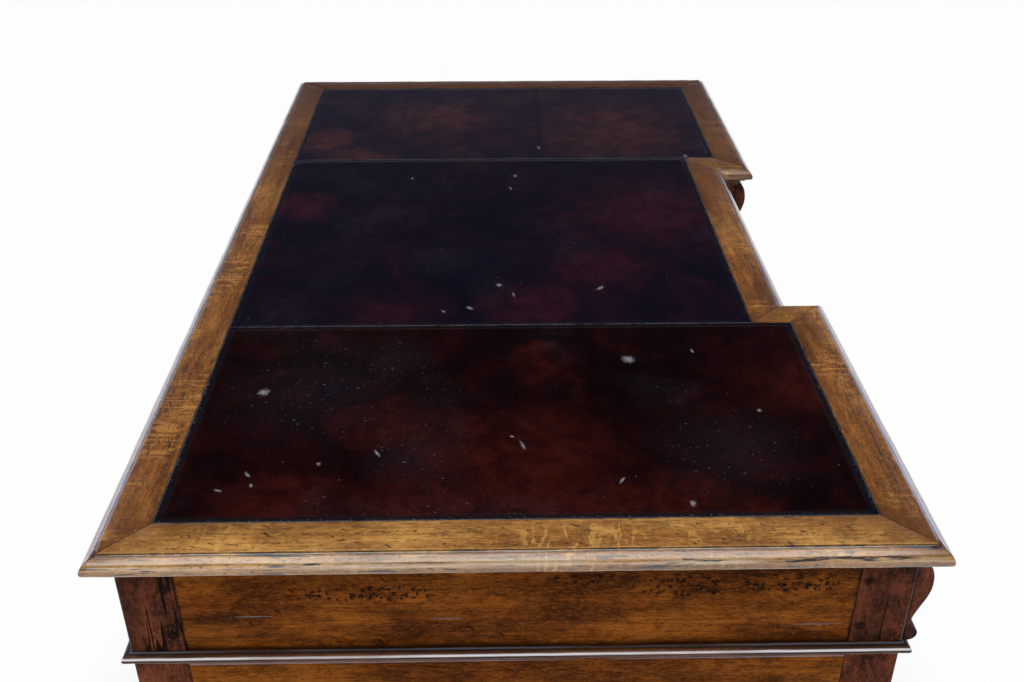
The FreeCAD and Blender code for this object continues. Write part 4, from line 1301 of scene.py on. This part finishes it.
def studio_white():
    finish = Finish("studio_white")
    seen = finish.put("LightPath", {}).outputs
    shown = finish.most(seen["Is Camera Ray"], seen["Is Glossy Ray"], seen["Is Transmission Ray"])
    across = finish.size(finish.axis("X"))
    beside = finish.most(finish.sum("SUBTRACT", across, CARCASS_X), finish.sum("SUBTRACT", KNEE_X, across))
    ahead = finish.sum("SUBTRACT", finish.size(finish.axis("Y")), CARCASS_Y)
    squares = [finish.sum("POWER", finish.most(reach, 0.0), 2.0) for reach in (beside, ahead)]
    away = finish.sum("SQRT", finish.plus(*squares))
    white = finish.times(finish.between(finish.ease(away, 0.0, 0.45), 0.70, 0.96),
                         finish.ease(away, 0.0, 0.014))
    glow = finish.put("Emission", {"Color": (1, 1, 1, 1), "Strength": 1.0}).outputs[0]
    finish.shader.inputs["Base Color"].default_value = (0.86, 0.86, 0.86, 1)
    finish.shader.inputs["Roughness"].default_value = 0.9
    mixed = finish.put("MixShader", {0: finish.times(shown, white), 1: finish.shader.outputs[0], 2: glow})
    finish.feed(finish.tree.nodes["Material Output"].inputs["Surface"], mixed.outputs[0])
    return finish.material


floor_bm = bmesh.new()
bmesh.ops.create_circle(floor_bm, cap_ends=True, segments=96, radius=FLOOR_RADIUS)
for reach, rise in FLOOR_CURVE:
    made = bmesh.ops.extrude_edge_only(floor_bm, edges=open_edges(floor_bm))
    for vert in new_points(made):
        flat = Vector((vert.co.x, vert.co.y, 0))
        vert.co += flat.normalized() * reach + Vector((0, 0, rise))
bmesh.ops.recalc_face_normals(floor_bm, faces=floor_bm.faces)
floor_mesh = bpy.data.meshes.new("studio_floor")
floor_bm.to_mesh(floor_mesh)
floor_bm.free()
floor_mesh.materials.append(studio_white())
floor = add_object("studio_floor", floor_mesh)
print("floor laid")

# %% [markdown]
# ## Light
# Light comes from large soft lamps above and beyond the near end and to either side. The sky is bright at
# the horizon and overhead and black between, where the leather mirrors it, so the leather stays dark. A
# bright low window on either side, past the far end, draws the bright lines along the noses of the border;
# the lines on the waist bead are painted highlights.

# %% Lamps
WARM = (1.0, 0.98, 0.95)
COOL = (0.90, 0.95, 1.0)


def soft_lamp(name, place, target, width, height, power, colour):
    data = bpy.data.lights.new(name, "AREA")
    data.shape = "RECTANGLE"
    data.size = width
    data.size_y = height
    data.energy = power
    data.color = colour
    aim = (Vector(target) - Vector(place)).to_track_quat("-Z", "Y")
    add_object(name, data).matrix_world = Matrix.Translation(place) @ aim.to_matrix().to_4x4()


soft_lamp("lamp_above", (-1.1, 0.0, 3.2), (-0.3, 0.0, 0.7), 2.6, 2.6, 50, WARM)
soft_lamp("lamp_left", (0.1, 3.0, 1.9), (0.0, 0.0, 0.6), 3.0, 1.6, 14, COOL)
soft_lamp("lamp_right", (0.1, -3.0, 1.9), (0.0, 0.0, 0.6), 3.0, 1.6, 14, COOL)
soft_lamp("lamp_end", (-3.4, 0.3, 1.6), (-0.7, 0.0, 0.6), 2.4, 1.4, 20, WARM)
print("lamps:", [lamp.name for lamp in bpy.data.lights])

# %% Sky
SKY_BANDS = ((0.00, (0.72, 0.82, 1.00)), (0.10, (0.72, 0.82, 1.00)), (0.20, (0.11, 0.12, 0.20)),
             (0.36, (0.06, 0.06, 0.11)), (0.46, (0.025, 0.020, 0.038)), (0.56, (0.002, 0.002, 0.002)),
             (0.74, (0.004, 0.004, 0.004)), (0.82, (0.90, 0.92, 0.96)))
SKY_WINDOW = (1.5, 2.0, 2.8, 1)


class Sky(Finish):
    """The light of the surroundings, mixed with the same words as a finish. Its place is a direction."""

    def __init__(self, name):
        self.world = bpy.data.worlds.new(name)
        self.start(self.world, "Generated")


sky = Sky("studio_sky")
bands = sky.put("ValToRGB", {"Fac": sky.axis("Z")})
stops = bands.color_ramp.elements
while len(stops) < len(SKY_BANDS):
    stops.new(1.0)
for stop, (level, tone) in zip(stops, SKY_BANDS):
    stop.position = level
    stop.color = (*tone, 1)
window = sky.times(sky.ease(sky.size(sky.axis("Y")), 0.32, 0.66), sky.ease(sky.axis("Z"), 0.46, 0.36),
                   sky.ease(sky.axis("X"), 0.20, 0.45))
sky.feed(sky.tree.nodes["Background"].inputs["Color"], sky.tint(window, bands.outputs["Color"], SKY_WINDOW))
bpy.context.scene.world = sky.world
print("sky bands:", len(stops))
